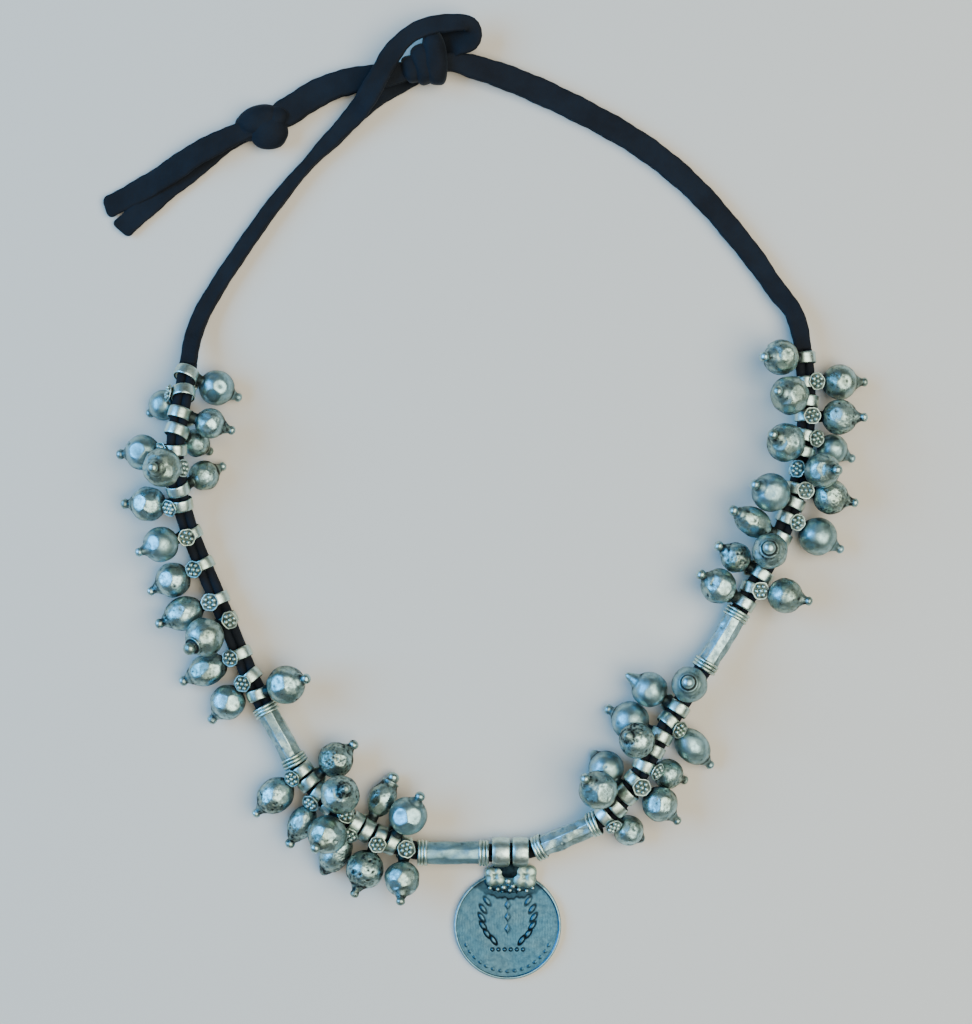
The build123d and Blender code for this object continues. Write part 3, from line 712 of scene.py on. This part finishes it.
# Drops in string order. Flats and dents are places on the ball as seen from above: right, up and size, in
# shares of its radius. Bend is a bent neck's further rise and lean, in degrees.
drop_columns = "kind space side rise lean tip surface flats dents bend"
Drop = namedtuple("Drop", drop_columns, defaults=((), (), (0, 0)))
drop_rows = {
    "drops_left_upper": [
        ("round", 0.8, "in", -25, 14, "fine", "smooth",
         [(0.34, 0.02, 0.36), (-0.1, -0.5, 0.4)], [(0.36, 0.05, 0.16)], (-4, -8)),
        ("small", 1.0, "out", -48, 12, "fine", "smooth"),
        ("small", 1.4, "in", -10, 8, "fine", "old",
         [(0.2, -0.1, 0.34), (-0.1, 0.4, 0.3), (0.55, 0.1, 0.3)]),
        ("tiny", 0.3, "in", -54, 16, "fine", "old"),
        ("round", 0.7, "out", -24, 6, "bead", "smooth",
         [(-0.2, 0.1, 0.42), (0.3, -0.3, 0.35)], [], (12, 4)),
        ("large", 0.4, "out", 76, -18, "bead", "old",
         [(0.28, -0.22, 0.4), (-0.25, -0.45, 0.35), (0.6, 0.3, 0.34), (-0.4, 0.4, 0.34)],
         [(0.24, -0.26, 0.13), (0.75, -0.1, 0.2)]),
        ("small", 1.4, "in", -34, -8, "fine", "old", [(0.05, 0.05, 0.4), (0.45, -0.2, 0.3)]),
        ("round", 0.6, "out", -16, -4, "bead", "old",
         [(-0.4, 0.05, 0.42), (0.2, -0.2, 0.38), (0.25, 0.4, 0.3), (-0.1, -0.6, 0.3)], [], (6, -6)),
        ("round", 4.6, "out", 26, 6, "fine", "smooth", [(-0.35, 0.1, 0.36)], [], (4, -8)),
        ("round", 5.0, "out", 0, 4, "fine", "old", [(-0.3, 0.1, 0.4)], [(0.2, -0.35, 0.12)]),
        ("plump", 6.4, "out", 11, 0, "bead", "pitted", [(-0.2, 0.2, 0.35)]),
        ("large", 2.4, "out", 56, 8, "big", "old",
         [(0.15, -0.05, 0.33), (0.1, -0.55, 0.35)], [(0.22, 0.05, 0.12)], (-8, 4)),
        ("long", 5.8, "out", -4, 2, "bead", "old", [(-0.15, 0.1, 0.36), (0.4, -0.1, 0.35)]),
        ("round", 2.6, "out", 0, 17, "bead", "old",
         [(0.42, 0.0, 0.42), (-0.2, 0.15, 0.4)], [(0.1, -0.1, 0.12)], (-4, 6)),
        ("large", 0.4, "in", 29, 8, "bead", "old",
         [(0.12, 0.2, 0.3), (0.32, -0.3, 0.34), (-0.1, -0.35, 0.32), (0.5, 0.15, 0.28), (-0.42, 0.1, 0.4)],
         [(0.2, -0.1, 0.12)]),
    ],
    "drops_left_lower": [
        ("plump", 0.2, "out", -12, 4, "fine", "pitted",
         [(-0.35, 0.1, 0.36), (0.15, 0.1, 0.36), (-0.05, -0.45, 0.34), (0.5, -0.2, 0.3)], [], (6, 4)),
        ("round", 0.1, "in", 0, -2, "bead", "pitted",
         [(-0.3, -0.1, 0.36), (0.2, 0.15, 0.34), (0.1, -0.5, 0.3)], [(0.45, 0.15, 0.2)]),
        ("thin", 0.1, "out", -20, 10, "bead", "pitted", [(-0.2, 0.1, 0.34)], [], (12, 6)),
        ("large", 0.3, "in", 68, -4, "stub", "pitted",
         [(-0.45, 0.0, 0.38), (-0.1, -0.5, 0.36), (0.5, -0.35, 0.34)], [], (-8, 4)),
        ("large", 1.2, "out", 54, 0, "bead", "old",
         [(-0.45, 0.15, 0.38), (0.15, 0.05, 0.4), (0.05, -0.5, 0.34), (0.55, 0.3, 0.32)],
         [(0.45, -0.25, 0.16)], (0, -6)),
        ("slim", 0.4, "out", -14, 2, "stub", "pitted"),
        ("thin", 0.1, "in", -15, 0, "big", "old",
         [(0.0, -0.4, 0.38), (0.25, 0.2, 0.34), (-0.4, 0.1, 0.34)]),
        ("large", 0.5, "out", 16, 2, "fine", "pitted"),
        ("large", 0.4, "in", 20, 2, "bead", "smooth",
         [(-0.35, 0.0, 0.42), (0.35, 0.1, 0.4), (0.0, -0.55, 0.35)]),
        ("round", 0.3, "out", 44, 4, "fine", "old",
         [(0.1, 0.1, 0.36), (0.45, 0.35, 0.34), (-0.35, -0.2, 0.34), (0.3, -0.5, 0.3), (-0.35, 0.4, 0.34)],
         [], (-8, 4)),
    ],
    "drops_right_lower": [
        ("small", 0.6, "out", -26, 6, "stub", "old", [(0.4, 0.3, 0.34)], [(0.35, 0.2, 0.16)], (0, 8)),
        ("large", 0.1, "in", 40, 6, "bead", "old",
         [(0.42, -0.08, 0.46), (-0.4, -0.2, 0.4)], [(0.3, 0.28, 0.1), (0.52, -0.4, 0.1)]),
        ("round", 0.3, "in", -26, 10, "stub", "smooth", [], [(-0.1, 0.2, 0.14)]),
        ("round", 0.1, "out", 8, -10, "fine", "old",
         [(0.3, 0.1, 0.38), (-0.35, 0.05, 0.4)], [(0.28, 0.1, 0.1), (0.2, -0.3, 0.1)], (-12, -4)),
        ("small", 0.6, "out", -32, 6, "fine", "pitted"),
        ("round", 1.0, "in", 64, -2, "stub", "pitted", [], [], (-14, 0)),
        ("large", 0.6, "in", -20, -2, "bead", "smooth"),
        ("long", 0.5, "out", -20, -12, "fine", "smooth", [], [(0.4, -0.3, 0.09)]),
        ("round", 0.5, "in", 2, 0, "cone", "smooth"),
        ("round", 2.8, "in", 86, 0, "big", "smooth",
         [], [(0.45, -0.4, 0.14), (0.15, -0.65, 0.12)], (-8, 0)),
    ],
    "drops_right_upper": [
        ("round", 0.4, "in", 30, 0, "bead", "old",
         [(0.3, -0.1, 0.4), (-0.3, 0.25, 0.36)], [(0.1, 0.2, 0.1)], (-8, 0)),
        ("round", 0.5, "out", 10, 12, "fine", "old", [], [(-0.1, 0.1, 0.08), (0.3, 0.0, 0.08)], (12, 6)),
        ("small", 0.5, "in", 18, 3, "bead", "pitted",
         [(0.3, -0.4, 0.36), (-0.3, 0.0, 0.36)], [(0.25, 0.25, 0.16)], (-8, 0)),
        ("round", 1.8, "in", 86, 4, "big", "old", [(0.1, -0.6, 0.34), (0.6, 0.1, 0.3)], [], (-8, 0)),
        ("slim", 1.6, "in", 30, 4, "bead", "old",
         [(-0.5, -0.2, 0.32), (0.0, 0.1, 0.34), (0.45, -0.1, 0.3)], [(0.15, 0.0, 0.14)]),
        ("large", 1.6, "out", -2, -3, "fine", "smooth", [], [], (0, -6)),
        ("large", 0.5, "in", 40, 8, "bead", "smooth", [(-0.2, 0.0, 0.36)], [], (0, -4)),
        ("round", 0.4, "out", 10, 0, "fine", "pitted", [(0.1, 0.1, 0.36)]),
        ("round", 1.4, "out", 60, 4, "bead", "old",
         [(-0.1, 0.0, 0.42), (-0.5, -0.2, 0.34)], [(0.4, 0.4, 0.2)]),
        ("large", 0.5, "in", 50, 12, "bead", "old",
         [(0.32, 0.15, 0.38), (0.18, -0.36, 0.34), (-0.35, -0.1, 0.38)]),
        ("small", 0.2, "out", -10, -14, "fine", "smooth", [], [], (0, -6)),
        ("round", 1.2, "out", 22, 0, "fine", "pitted", [(-0.3, 0.1, 0.36)]),
        ("large", 0.4, "in", 54, 6, "bead", "old",
         [(0.36, 0.1, 0.42), (-0.2, 0.45, 0.34), (-0.3, -0.2, 0.36)]),
        ("round", 1.3, "out", -2, -3, "fine", "old",
         [(0.05, 0.0, 0.36)], [(-0.2, 0.2, 0.1), (0.3, 0.0, 0.1)]),
        ("round", 2.6, "in", 48, 2, "bead", "old",
         [(0.32, 0.1, 0.38), (-0.3, 0.25, 0.34), (0.05, -0.45, 0.34)], [], (-8, 0)),
    ],
}
trailing_shares = {
    "drops_left_upper": 1.2,
    "drops_left_lower": 0.6,
    "drops_right_lower": 3.8,
    "drops_right_upper": 0.4,
}

# Marks deeper than the dents: right, up, size, depth and stain. Fields of pits: number and sizes.
deep_marks = {"drops_left_lower_04": [(0.08, 0.22, 0.48, 0.16, 0.30), (0.16, 0.3, 0.2, -0.12, -0.1)]}
pit_fields = {
    "drops_left_lower_06": (70, 0.05, 0.13),
    "drops_left_lower_08": (150, 0.05, 0.16),
    "drops_right_lower_06": (90, 0.06, 0.16),
}

# Surfaces: silver, range of the facets' distances from the middle, and number of small dents
surfaces = {
    "smooth": (smooth_silver, (0.972, 0.996), 5),
    "old": (old_silver, (0.945, 0.985), 20),
    "pitted": (pitted_silver, (0.955, 0.99), 38),
}
# Small dents: ranges of size, depth and stain
small_dents = [(0.06, 0.17), (0.010, 0.034), (0, 0.6)]
facet_counts = (15, 22)
facet_softness = 0.009
ball_waves = 9
wave_height = 0.005
ball_around = 76
ball_steps = 54
neck_radius = 1.45
neck_profile = [(2.7, 1.75), (3.1, 1.6), (3.6, neck_radius), (4.0, 1.42)]


def spread_directions(count, chance, jitter):
    """Directions spread evenly over the ball with some jitter."""
    directions = []
    golden = math.pi * (3 - math.sqrt(5))
    for index in range(count):
        height = 1 - 2 * (index + 0.5) / count
        ring = math.sqrt(1 - height * height)
        turn = golden * index + chance.uniform(-jitter, jitter)
        direction = Vector((height, ring * math.cos(turn), ring * math.sin(turn)))
        direction += Vector([chance.uniform(-jitter, jitter) for _ in range(3)])
        directions.append(np.array(direction.normalized()))
    return directions


def hammer_marks(name, drop, chance, to_local):
    """Facets as (normal, distance), and dents as (normal, size, depth, stain), of one ball."""
    def facing(right, up):
        height = math.sqrt(max(0.0, 1 - right * right - up * up))
        return np.array((to_local @ Vector((right, up, height))).normalized())

    _, flatness, dent_count = surfaces[drop.surface]
    facets = [
        (normal, chance.uniform(*flatness))
        for normal in spread_directions(chance.randint(*facet_counts), chance, 0.2)
    ]
    dents = [
        (normal, *[chance.uniform(*span) for span in small_dents])
        for normal in spread_directions(dent_count, chance, 0.5)
    ]
    facets += [(facing(right, up), math.sqrt(1 - size * size)) for right, up, size in drop.flats]
    dents += [(facing(right, up), size, size * 0.25, 0.35) for right, up, size in drop.dents]
    for right, up, size, depth, darkening in deep_marks.get(name, []):
        dents.append((facing(right, up), size, depth, darkening))
    if name in pit_fields:
        count, smallest, largest = pit_fields[name]
        for normal in spread_directions(count, chance, 0.35):
            size = chance.uniform(smallest, largest)
            dents.append((normal, size, size * 0.22, 0.55))
    return facets, dents


def hammered(unit, facets, dents, chance):
    """Points of the unit ball after the hammer, and how dark their hollows are."""
    points = unit.copy()
    dark = np.zeros(len(unit))
    for normal, level in facets:
        over = points @ normal - level
        points -= np.outer(np.logaddexp(0, over / facet_softness) * facet_softness, normal)
    for normal, size, depth, darkening in dents:
        share = np.clip(1 - (np.linalg.norm(unit - normal, axis=1) / size) ** 2, 0, 1)
        points -= np.outer(depth * share ** 2, normal)
        dark += darkening * share ** 2
    ripple = np.ones(len(unit))
    for _ in range(ball_waves):
        wave = np.array([chance.uniform(-1, 1) for _ in range(3)])
        wave *= chance.uniform(3, 9) / np.linalg.norm(wave)
        ripple += wave_height * np.sin(unit @ wave + chance.uniform(0, 6.28))
    return points * ripple[:, None], dark


def ball_shape(name, drop, chance, to_local):
    """Ball along local X with its neck and tip."""
    width_share, length_share = drop_kinds[drop.kind]
    half_width = ball_diameter * width_share / 2
    half_length = ball_diameter * length_share / 2
    middle = ring_outer_radius + neck_reach + half_length
    tip_profile = tip_profiles[drop.tip]
    shoulder = tip_profile[0][1] + 0.35
    neck_turn = math.asin(neck_radius / half_width)
    tip_turn = math.pi - math.asin(shoulder / half_width)
    turns = neck_turn + (tip_turn - neck_turn) * np.arange(ball_steps + 1) / ball_steps
    unit = lathe_points(zip(-np.cos(turns), np.sin(turns)), ball_around)
    facets, dents = hammer_marks(name, drop, chance, to_local)
    pressed, dark = hammered(unit, facets, dents, chance)
    rim = np.hypot(unit[:, 1], unit[:, 2]) * half_width
    at_neck_end = unit[:, 0] < 0
    at_tip_end = unit[:, 0] > 0
    kept = smooth_step(rim, shoulder, shoulder + 0.7)
    share = np.where(at_neck_end, smooth_step(rim, neck_radius, 2.3), kept)[:, None]
    ball = (unit * (1 - share) + pressed * share) * np.array([half_length, half_width, half_width])
    ball[:, 0] += middle
    near_neck = np.where(at_neck_end, 1 - smooth_step(rim, 1.5, half_width * 0.7), 0)
    near_tip = np.where(at_tip_end, 1 - smooth_step(rim, shoulder, shoulder + 0.8), 0)
    # Painted shade: where the ball's surface faces downwards at rest it is darkened as if in shadow, on top
    # of the real tarnish at neck, tip and dents.
    painted_underside_shade = 1 - smooth_step(unit @ np.array(to_local @ UP), -0.1, 0.62)
    ball_tarnish_and_shade = np.clip(0.03 + 0.5 * near_neck + 0.35 * near_tip + 0.5 * painted_underside_shade + dark, 0, 1)
    tip_points = [(middle + half_length + out, radius) for out, radius, _ in tip_profile]
    points = [lathe_points(neck_profile, ball_around), ball, lathe_points(tip_points, ball_around)]
    marks = [
        np.full(len(neck_profile) * ball_around, 0.75),
        ball_tarnish_and_shade,
        np.repeat([mark for _, _, mark in tip_profile], ball_around),
    ]
    rings = len(neck_profile) + ball_steps + 1 + len(tip_profile)
    shape = Shape()
    shape.add(np.concatenate(points), ring_faces(rings, ball_around, False, True), np.concatenate(marks))
    return shape


# Rosette plate as (out, radius, tarnish), and the numbers of points round ring and plate
plate_profile = [
    (-1.0, 1.1, 0.9), (-0.15, 1.2, 0.9), (0.0, 2.0, 0.6), (0.06, 2.26, 0.2), (0.30, 2.34, 0.1),
    (0.38, 2.2, 0.1), (0.34, 2.02, 0.4), (0.28, 1.9, 0.66), (0.28, 0.01, 0.66),
]
ring_around = 56
plate_around = 40


def ring_shape(chance):
    """Ring round local Y with its granulated rosette facing local Z."""
    shape = Shape()
    bore = ring_bore / 2
    outer = ring_outer_radius
    half = ring_width / 2
    half_profile = [
        (bore + 0.03, -half + 0.2), (bore + 0.1, -half + 0.03), (outer - 0.14, -half),
        (outer - 0.04, -half + 0.1), (outer, -half + 0.5),
    ]
    other_half = [(radius, -along) for radius, along in reversed(half_profile)]
    ring_profile = half_profile + [(outer + 0.03, 0.0)] + other_half
    turns = full_turn(ring_around)
    oval = chance.uniform(-0.03, 0.03)
    dent_place = chance.uniform(0, 6.28)
    press = 1 - 0.02 * np.exp(-((turns - dent_place) ** 2) / 0.1)
    ring_points = []
    ring_marks = []
    for radius, along in ring_profile:
        edge = along * (1 + 0.03 * np.sin(3 * turns + dent_place))
        wide = radius * press * (1 + oval) * np.cos(turns)
        deep = radius * press * (1 - oval) * np.sin(turns)
        ring_points.append(np.stack([wide, edge, deep], axis=1))
        inside = 1.0 if radius < bore + 0.2 else 0.05
        ring_marks.append(np.maximum(inside, 0.6 * smooth_step(np.cos(turns), 0.75, 0.95)))
    faces = ring_faces(len(ring_profile), ring_around)
    shape.add(np.concatenate(ring_points), faces, np.concatenate(ring_marks), 1)

    lean = math.radians(rosette_lean)
    facing = Vector((math.sin(lean), 0, math.cos(lean)))
    outwards = Vector((math.cos(lean), 0, -math.sin(lean)))
    seat = facing * (ring_outer_radius + rosette_lift) + outwards * rosette_shift
    disc = frame_matrix(seat, facing, outwards)
    lobes = chance.uniform(0, 6.28)
    disc_size = chance.uniform(0.96, 1.03)
    points = lathe_points([(out, radius) for out, radius, _ in plate_profile], plate_around)
    swing = np.arctan2(points[:, 2], points[:, 1])
    scallop = disc_size * (1 + 0.035 * np.cos(6 * swing + lobes) + 0.012 * np.sin(11 * swing))
    points[:, 1:] *= scallop[:, None]
    points = points @ np.array(disc.to_3x3()).T + np.array(seat)
    plate_marks = np.repeat([mark for _, _, mark in plate_profile], plate_around)
    shape.add(points, ring_faces(len(plate_profile), plate_around), plate_marks, 1)
    granules = [(0.0, 0.0)]
    for granule in range(6):
        turn = lobes + math.pi * granule / 3 + chance.uniform(-0.06, 0.06)
        out = chance.uniform(1.22, 1.34)
        granules.append((out * math.cos(turn), out * math.sin(turn)))
    for across, along in granules:
        centre = disc @ Vector((chance.uniform(0.36, 0.46), across, along))
        size = chance.uniform(0.52, 0.62)
        add_ellipsoid(shape, centre, (size, size, size), 12, 8, chance.uniform(0.0, 0.22), 1)
    return shape


def drop_frame(ring_centre, along, side, rise, lean):
    """Matrix of a drop on its ring: X from the cord to the ball, Y along the ring's axis."""
    outward = along.cross(UP).normalized()
    upward = outward.cross(along)
    sign = 1 if side == "out" else -1
    angle = math.radians(rise)
    tilt = math.radians(lean)
    level = outward * (sign * math.cos(angle)) + upward * math.sin(angle)
    pointing = level * math.cos(tilt) + along * math.sin(tilt)
    ring_axis = along * math.cos(tilt) - level * math.sin(tilt)
    return frame_matrix(ring_centre, pointing, pointing.cross(ring_axis))


free_stretches = {
    "drops_left_upper": (0.0, tube_spans[0][0]),
    "drops_left_lower": (tube_spans[0][1], tube_spans[1][0]),
    "drops_right_lower": (tube_spans[2][1], tube_spans[3][0]),
    "drops_right_upper": (tube_spans[3][1], string_line.length),
}
for string_name, rows in drop_rows.items():
    drops = [Drop(*row) for row in rows]
    start, end = free_stretches[string_name]
    lengths = []
    for drop in drops:
        lean = math.radians(abs(drop.lean))
        lengths.append(ring_width * math.cos(lean) + 2 * ring_outer_radius * math.sin(lean))
    spare = end - start - sum(lengths) - ring_gap * (len(drops) + 1)
    share_sum = sum(drop.space for drop in drops) + trailing_shares[string_name]
    distance = start
    for number, (drop, length) in enumerate(zip(drops, lengths), 1):
        name = f"{string_name}_{number:02d}"
        distance += ring_gap + spare * drop.space / share_sum + length / 2
        ring_centre, along = string_line.place(distance)
        distance += length / 2
        more_rise, more_lean = drop.bend
        ring_place = drop_frame(ring_centre, along, drop.side, drop.rise, drop.lean)
        ball_place = drop_frame(
            ring_centre, along, drop.side, drop.rise + more_rise, drop.lean + more_lean
        )
        chance = random.Random(f"{string_name}{number}")
        shape = ring_shape(chance).placed(ring_place)
        ball = ball_shape(name, drop, chance, ball_place.to_3x3().transposed())
        shape.join(ball.placed(ball_place))
        shape.make(name, [surfaces[drop.surface][0], ring_silver], [string_name], "old_silver")


# Coin pendant
coin_centre = Vector((4.6, -119.15, 0.0))
coin_radius = 14.0
coin_face = 1.5
coin_rings = 110
coin_around = 260
bands_inside_rim = 107
leaves_a_spray = 6
lozenges = 3
lozenge_pitch = 3.1
low_pellets = 6
low_pellet_pitch = 1.6
border_pellets = 15
border_radius = 11.9
pellet_radius = 0.42
relief_height = 0.17


def coin_relief(right, up):
    """Height of the coin's front and its dark recesses, with generic worn ornament."""
    distance = np.hypot(right, up)
    rim = smooth_step(distance, 13.2, 13.5) * (1 - smooth_step(distance, 13.75, coin_radius) * 0.8)
    forms = []
    for spray in (-1, 1):
        angle = math.radians(90 - spray * 35)
        for leaf in range(leaves_a_spray):
            turn = math.radians(-50 + 100 * leaf / leaves_a_spray)
            over = right - spray * (8.6 * math.cos(turn) - 1.8)
            above = up - (7.74 * math.sin(turn) + 2.2)
            long_way = over * math.cos(angle) + above * math.sin(angle)
            short_way = -over * math.sin(angle) + above * math.cos(angle)
            forms.append((np.hypot(long_way / 1.3, short_way / 0.55), 0.9 - 0.06 * leaf))
    for row in range(lozenges):
        forms.append((np.abs(right) / 0.75 + np.abs(up - 5.4 + row * lozenge_pitch) / 1.3, 0.35))
    for pellet in range(low_pellets):
        over = right - low_pellet_pitch * (pellet - (low_pellets - 1) / 2)
        forms.append((np.hypot(over, up + 6.2) / pellet_radius, 0.9))
    for pellet in range(border_pellets):
        turn = math.radians(205 + 130 * pellet / (border_pellets - 1))
        over = right - border_radius * math.cos(turn)
        above = up - border_radius * math.sin(turn)
        forms.append((np.hypot(over, above) / pellet_radius, 0.3))
    relief = np.zeros_like(right)
    groove = np.zeros_like(right)
    for reach, darkening in forms:
        relief = np.maximum(relief, relief_height * (1 - smooth_step(reach, 0.45, 1.05)))
        ditch = smooth_step(reach, 0.6, 0.95) * (1 - smooth_step(reach, 1.15, 1.6))
        groove = np.maximum(groove, darkening * ditch)
    wear = 0.010 * np.sin(right * 1.3 + 2) * np.sin(up * 1.1) + 0.004 * np.sin(right * 9 + np.sin(up * 2))
    return coin_face + 0.24 * rim + relief - 0.05 * groove + wear * (1 - rim), groove


def coin_shape():
    """Coin with its worn front, bright rim, a darker band under the bail and plain back."""
    radii = (coin_radius - 0.1) * np.arange(1, coin_rings + 1) / coin_rings
    turns = full_turn(coin_around)
    radius, turn = np.meshgrid(radii, turns, indexing="ij")
    right = (radius * np.cos(turn)).reshape(-1)
    up = (radius * np.sin(turn)).reshape(-1)
    height, groove = coin_relief(right, up)
    from_bail = right - 0.6
    under_edge = up - 0.034 * from_bail ** 2 + 0.2 * np.sin(right * 1.9) + 0.12 * np.sin(right * 4.3 + 1)
    arc_share = 1 - smooth_step(np.abs(from_bail), 4.5, 7.5)
    under_bail = smooth_step(under_edge, 6.7, 7.5) + arc_share * np.exp(-(((under_edge - 7.1) / 0.35) ** 2))
    distance = np.hypot(right, up)
    edge_dirt = 0.12 * smooth_step(distance, 12.4, 13.1) * (1 - smooth_step(distance, 13.1, 13.4))
    marks = np.clip(0.04 + 0.9 * groove + 0.42 * under_bail + edge_dirt, 0, 1)
    middle_height, _ = coin_relief(np.zeros(1), np.zeros(1))
    side_rings = [(14.0, coin_face + 0.05), (14.02, 0.8), (14.0, 0.2), (13.8, 0.0)]
    side_points = [
        np.stack([edge * np.cos(turns), edge * np.sin(turns), np.full(coin_around, level)], axis=1)
        for edge, level in side_rings
    ]
    front = np.stack([right, up, height], axis=1)
    points = np.concatenate([[[0, 0, middle_height[0]]], front, *side_points])
    marks = np.concatenate([[0.04], marks, np.full(coin_around * len(side_rings), 0.2)])
    faces = [[0, 1 + side, 1 + (side + 1) % coin_around] for side in range(coin_around)]
    bands = ring_faces(coin_rings + len(side_rings), coin_around, False, True)
    faces += [[1 + index for index in face] for face in bands]
    shape = Shape()
    shape.add(points + np.array(coin_centre), faces, marks)
    inside_rim = coin_around * bands_inside_rim
    shape.slots = [0] * inside_rim + [1] * (len(faces) - inside_rim)
    return shape


coin_shape().make("coin_worn", [coin_silver, plain_silver], ["coin_pendant"], "coin_silver")

# Bail: two rings, solder, two blossoms and granules
bail_middle = Vector((5.3, -99.45, 4.2))
bail_around = 72
blossom_around = 64
blossom_rings = 18
bail_granules = [
    (5.2, -105.7, 0.7), (4.7, -107.4, 0.8), (6.0, -108.7, 0.6), (3.6, -109.0, 0.65), (2.0, -109.5, 0.5),
    (5.2, -109.8, 0.5), (7.6, -109.6, 0.55), (9.6, -109.9, 0.5), (0.0, -109.2, 0.5), (11.2, -109.2, 0.4),
]
solder_granules = 90
solder_middle = (5.2, -107.7)
solder_reach = (6.9, 3.3)


def bail_ring(shape, start, width):
    """Ring round X, from a start along it, pinched where it meets the coin."""
    half_profile = [
        (0.15, 3.25), (0.0, 3.4), (0.05, 3.6), (0.3, 3.74), (width * 0.25, 3.84), (width * 0.5, 3.9),
    ]
    profile = half_profile + [(width - along, radius) for along, radius in half_profile[-2::-1]]
    points = lathe_points(profile, bail_around)
    outside = np.hypot(points[:, 1], points[:, 2])
    low = smooth_step(-points[:, 1], 2.4, 3.8)
    marks = np.where(outside < 3.35, 0.9, 0.05 + 0.6 * low)
    points[:, 0] = (points[:, 0] - width / 2) * (1 - 0.14 * low) + width / 2 + start
    shape.add(points + np.array(bail_middle), ring_faces(len(profile), bail_around), marks)


def blossom(shape, centre, size, phase):
    """Cast flower with four soft lobes round a dimple."""
    steps = np.arange(1, blossom_rings + 1) / blossom_rings
    share, swing = np.meshgrid(steps, full_turn(blossom_around), indexing="ij")
    petal = np.cos(4 * swing + phase)
    reach = size * share * (1 + 0.09 * petal)
    groove = np.clip(0.1 - petal, 0, 1) * smooth_step(share, 0.25, 0.8)
    height = 1.3 * np.sqrt(np.clip(1 - share ** 4, 0, 1)) * (1 - 0.22 * groove)
    height = height - 0.5 * np.exp(-((share / 0.24) ** 2))
    points = np.stack([reach * np.cos(swing), reach * np.sin(swing), height], axis=-1).reshape(-1, 3)
    points = np.concatenate([[[0, 0, 0.8]], points, [[0, 0, -0.4]]])
    crease = 0.3 * np.clip(1 - share / 0.4, 0, 1) + 0.3 * groove
    marks = np.concatenate([[0.5], crease.reshape(-1), [0.5]])
    shape.add(points + np.array(centre), pole_faces(blossom_rings, blossom_around), marks, 2)


bail = Shape()
bail_ring(bail, -4.75, 4.6)
bail_ring(bail, 0.55, 4.2)
add_ellipsoid(bail, (5.2, -107.3, 1.3), (7.0, 3.3, 0.85), 64, 30, 0.45, 1)
add_ellipsoid(bail, (5.3, -104.4, 1.9), (4.9, 2.2, 1.0), 48, 24, 0.7, 1)
blossom(bail, (1.3, -106.1, 1.7), 2.75, 2.7)
blossom(bail, (9.1, -106.1, 1.7), 3.3, 3.6)
for right, up, size in bail_granules:
    add_ellipsoid(bail, (right, up, 2.05), (size, size, size * 0.8), 16, 10, 0.15)
chance = random.Random(5)
for _ in range(solder_granules):
    swing = chance.uniform(0, 2 * math.pi)
    out = math.sqrt(chance.uniform(0, 0.92))
    size = chance.uniform(0.2, 0.5)
    right = solder_middle[0] + solder_reach[0] * out * math.cos(swing)
    up = solder_middle[1] + solder_reach[1] * out * math.sin(swing)
    radii = (size, size, size * 0.5)
    add_ellipsoid(bail, (right, up, 2.0 - 0.55 * out ** 2), radii, 10, 8, chance.uniform(0.2, 0.8), 1)
bail.make("bail_and_petals", [ring_silver, coin_silver, petal_silver], ["coin_pendant"], "coin_silver")


# Floor and soft studio light
reach = 1.5
floor_corners = [(-reach, -reach, 0), (reach, -reach, 0), (reach, reach, 0), (-reach, reach, 0)]
floor_mesh = bpy.data.meshes.new("floor")
floor_mesh.from_pydata(floor_corners, [], [[0, 1, 2, 3]])
floor = bpy.data.objects.new("floor", floor_mesh)
bpy.context.scene.collection.objects.link(floor)
floor_material = bpy.data.materials.new("pale_floor")
floor_material.use_nodes = True
floor_shader = floor_material.node_tree.nodes["Principled BSDF"].inputs
floor_shader["Base Color"].default_value = (0.72, 0.65, 0.57, 1)
floor_shader["Roughness"].default_value = 0.9
floor_mesh.materials.append(floor_material)


def area_light(name, place, size, power, colour):
    """Soft rectangular light that faces the middle of the floor."""
    data = bpy.data.lights.new(name, "AREA")
    data.shape = "RECTANGLE"
    data.size, data.size_y = size
    data.energy = power
    data.color = colour
    light = bpy.data.objects.new(name, data)
    light.location = place
    light.rotation_euler = (-Vector(place)).to_track_quat("-Z", "Y").to_euler()
    bpy.context.scene.collection.objects.link(light)


area_light("window", (-1.15, 0.2, 0.85), (1.1, 0.95), 32.0, (0.11, 0.49, 1.0))
area_light("ceiling", (0.55, -0.1, 1.25), (1.3, 1.3), 27.0, (1.0, 0.98, 0.83))
world = bpy.data.worlds.new("studio")
bpy.context.scene.world = world
world.use_nodes = True
background = world.node_tree.nodes["Background"].inputs
background["Color"].default_value = (0.60, 0.62, 0.60, 1)
background["Strength"].default_value = 0.18
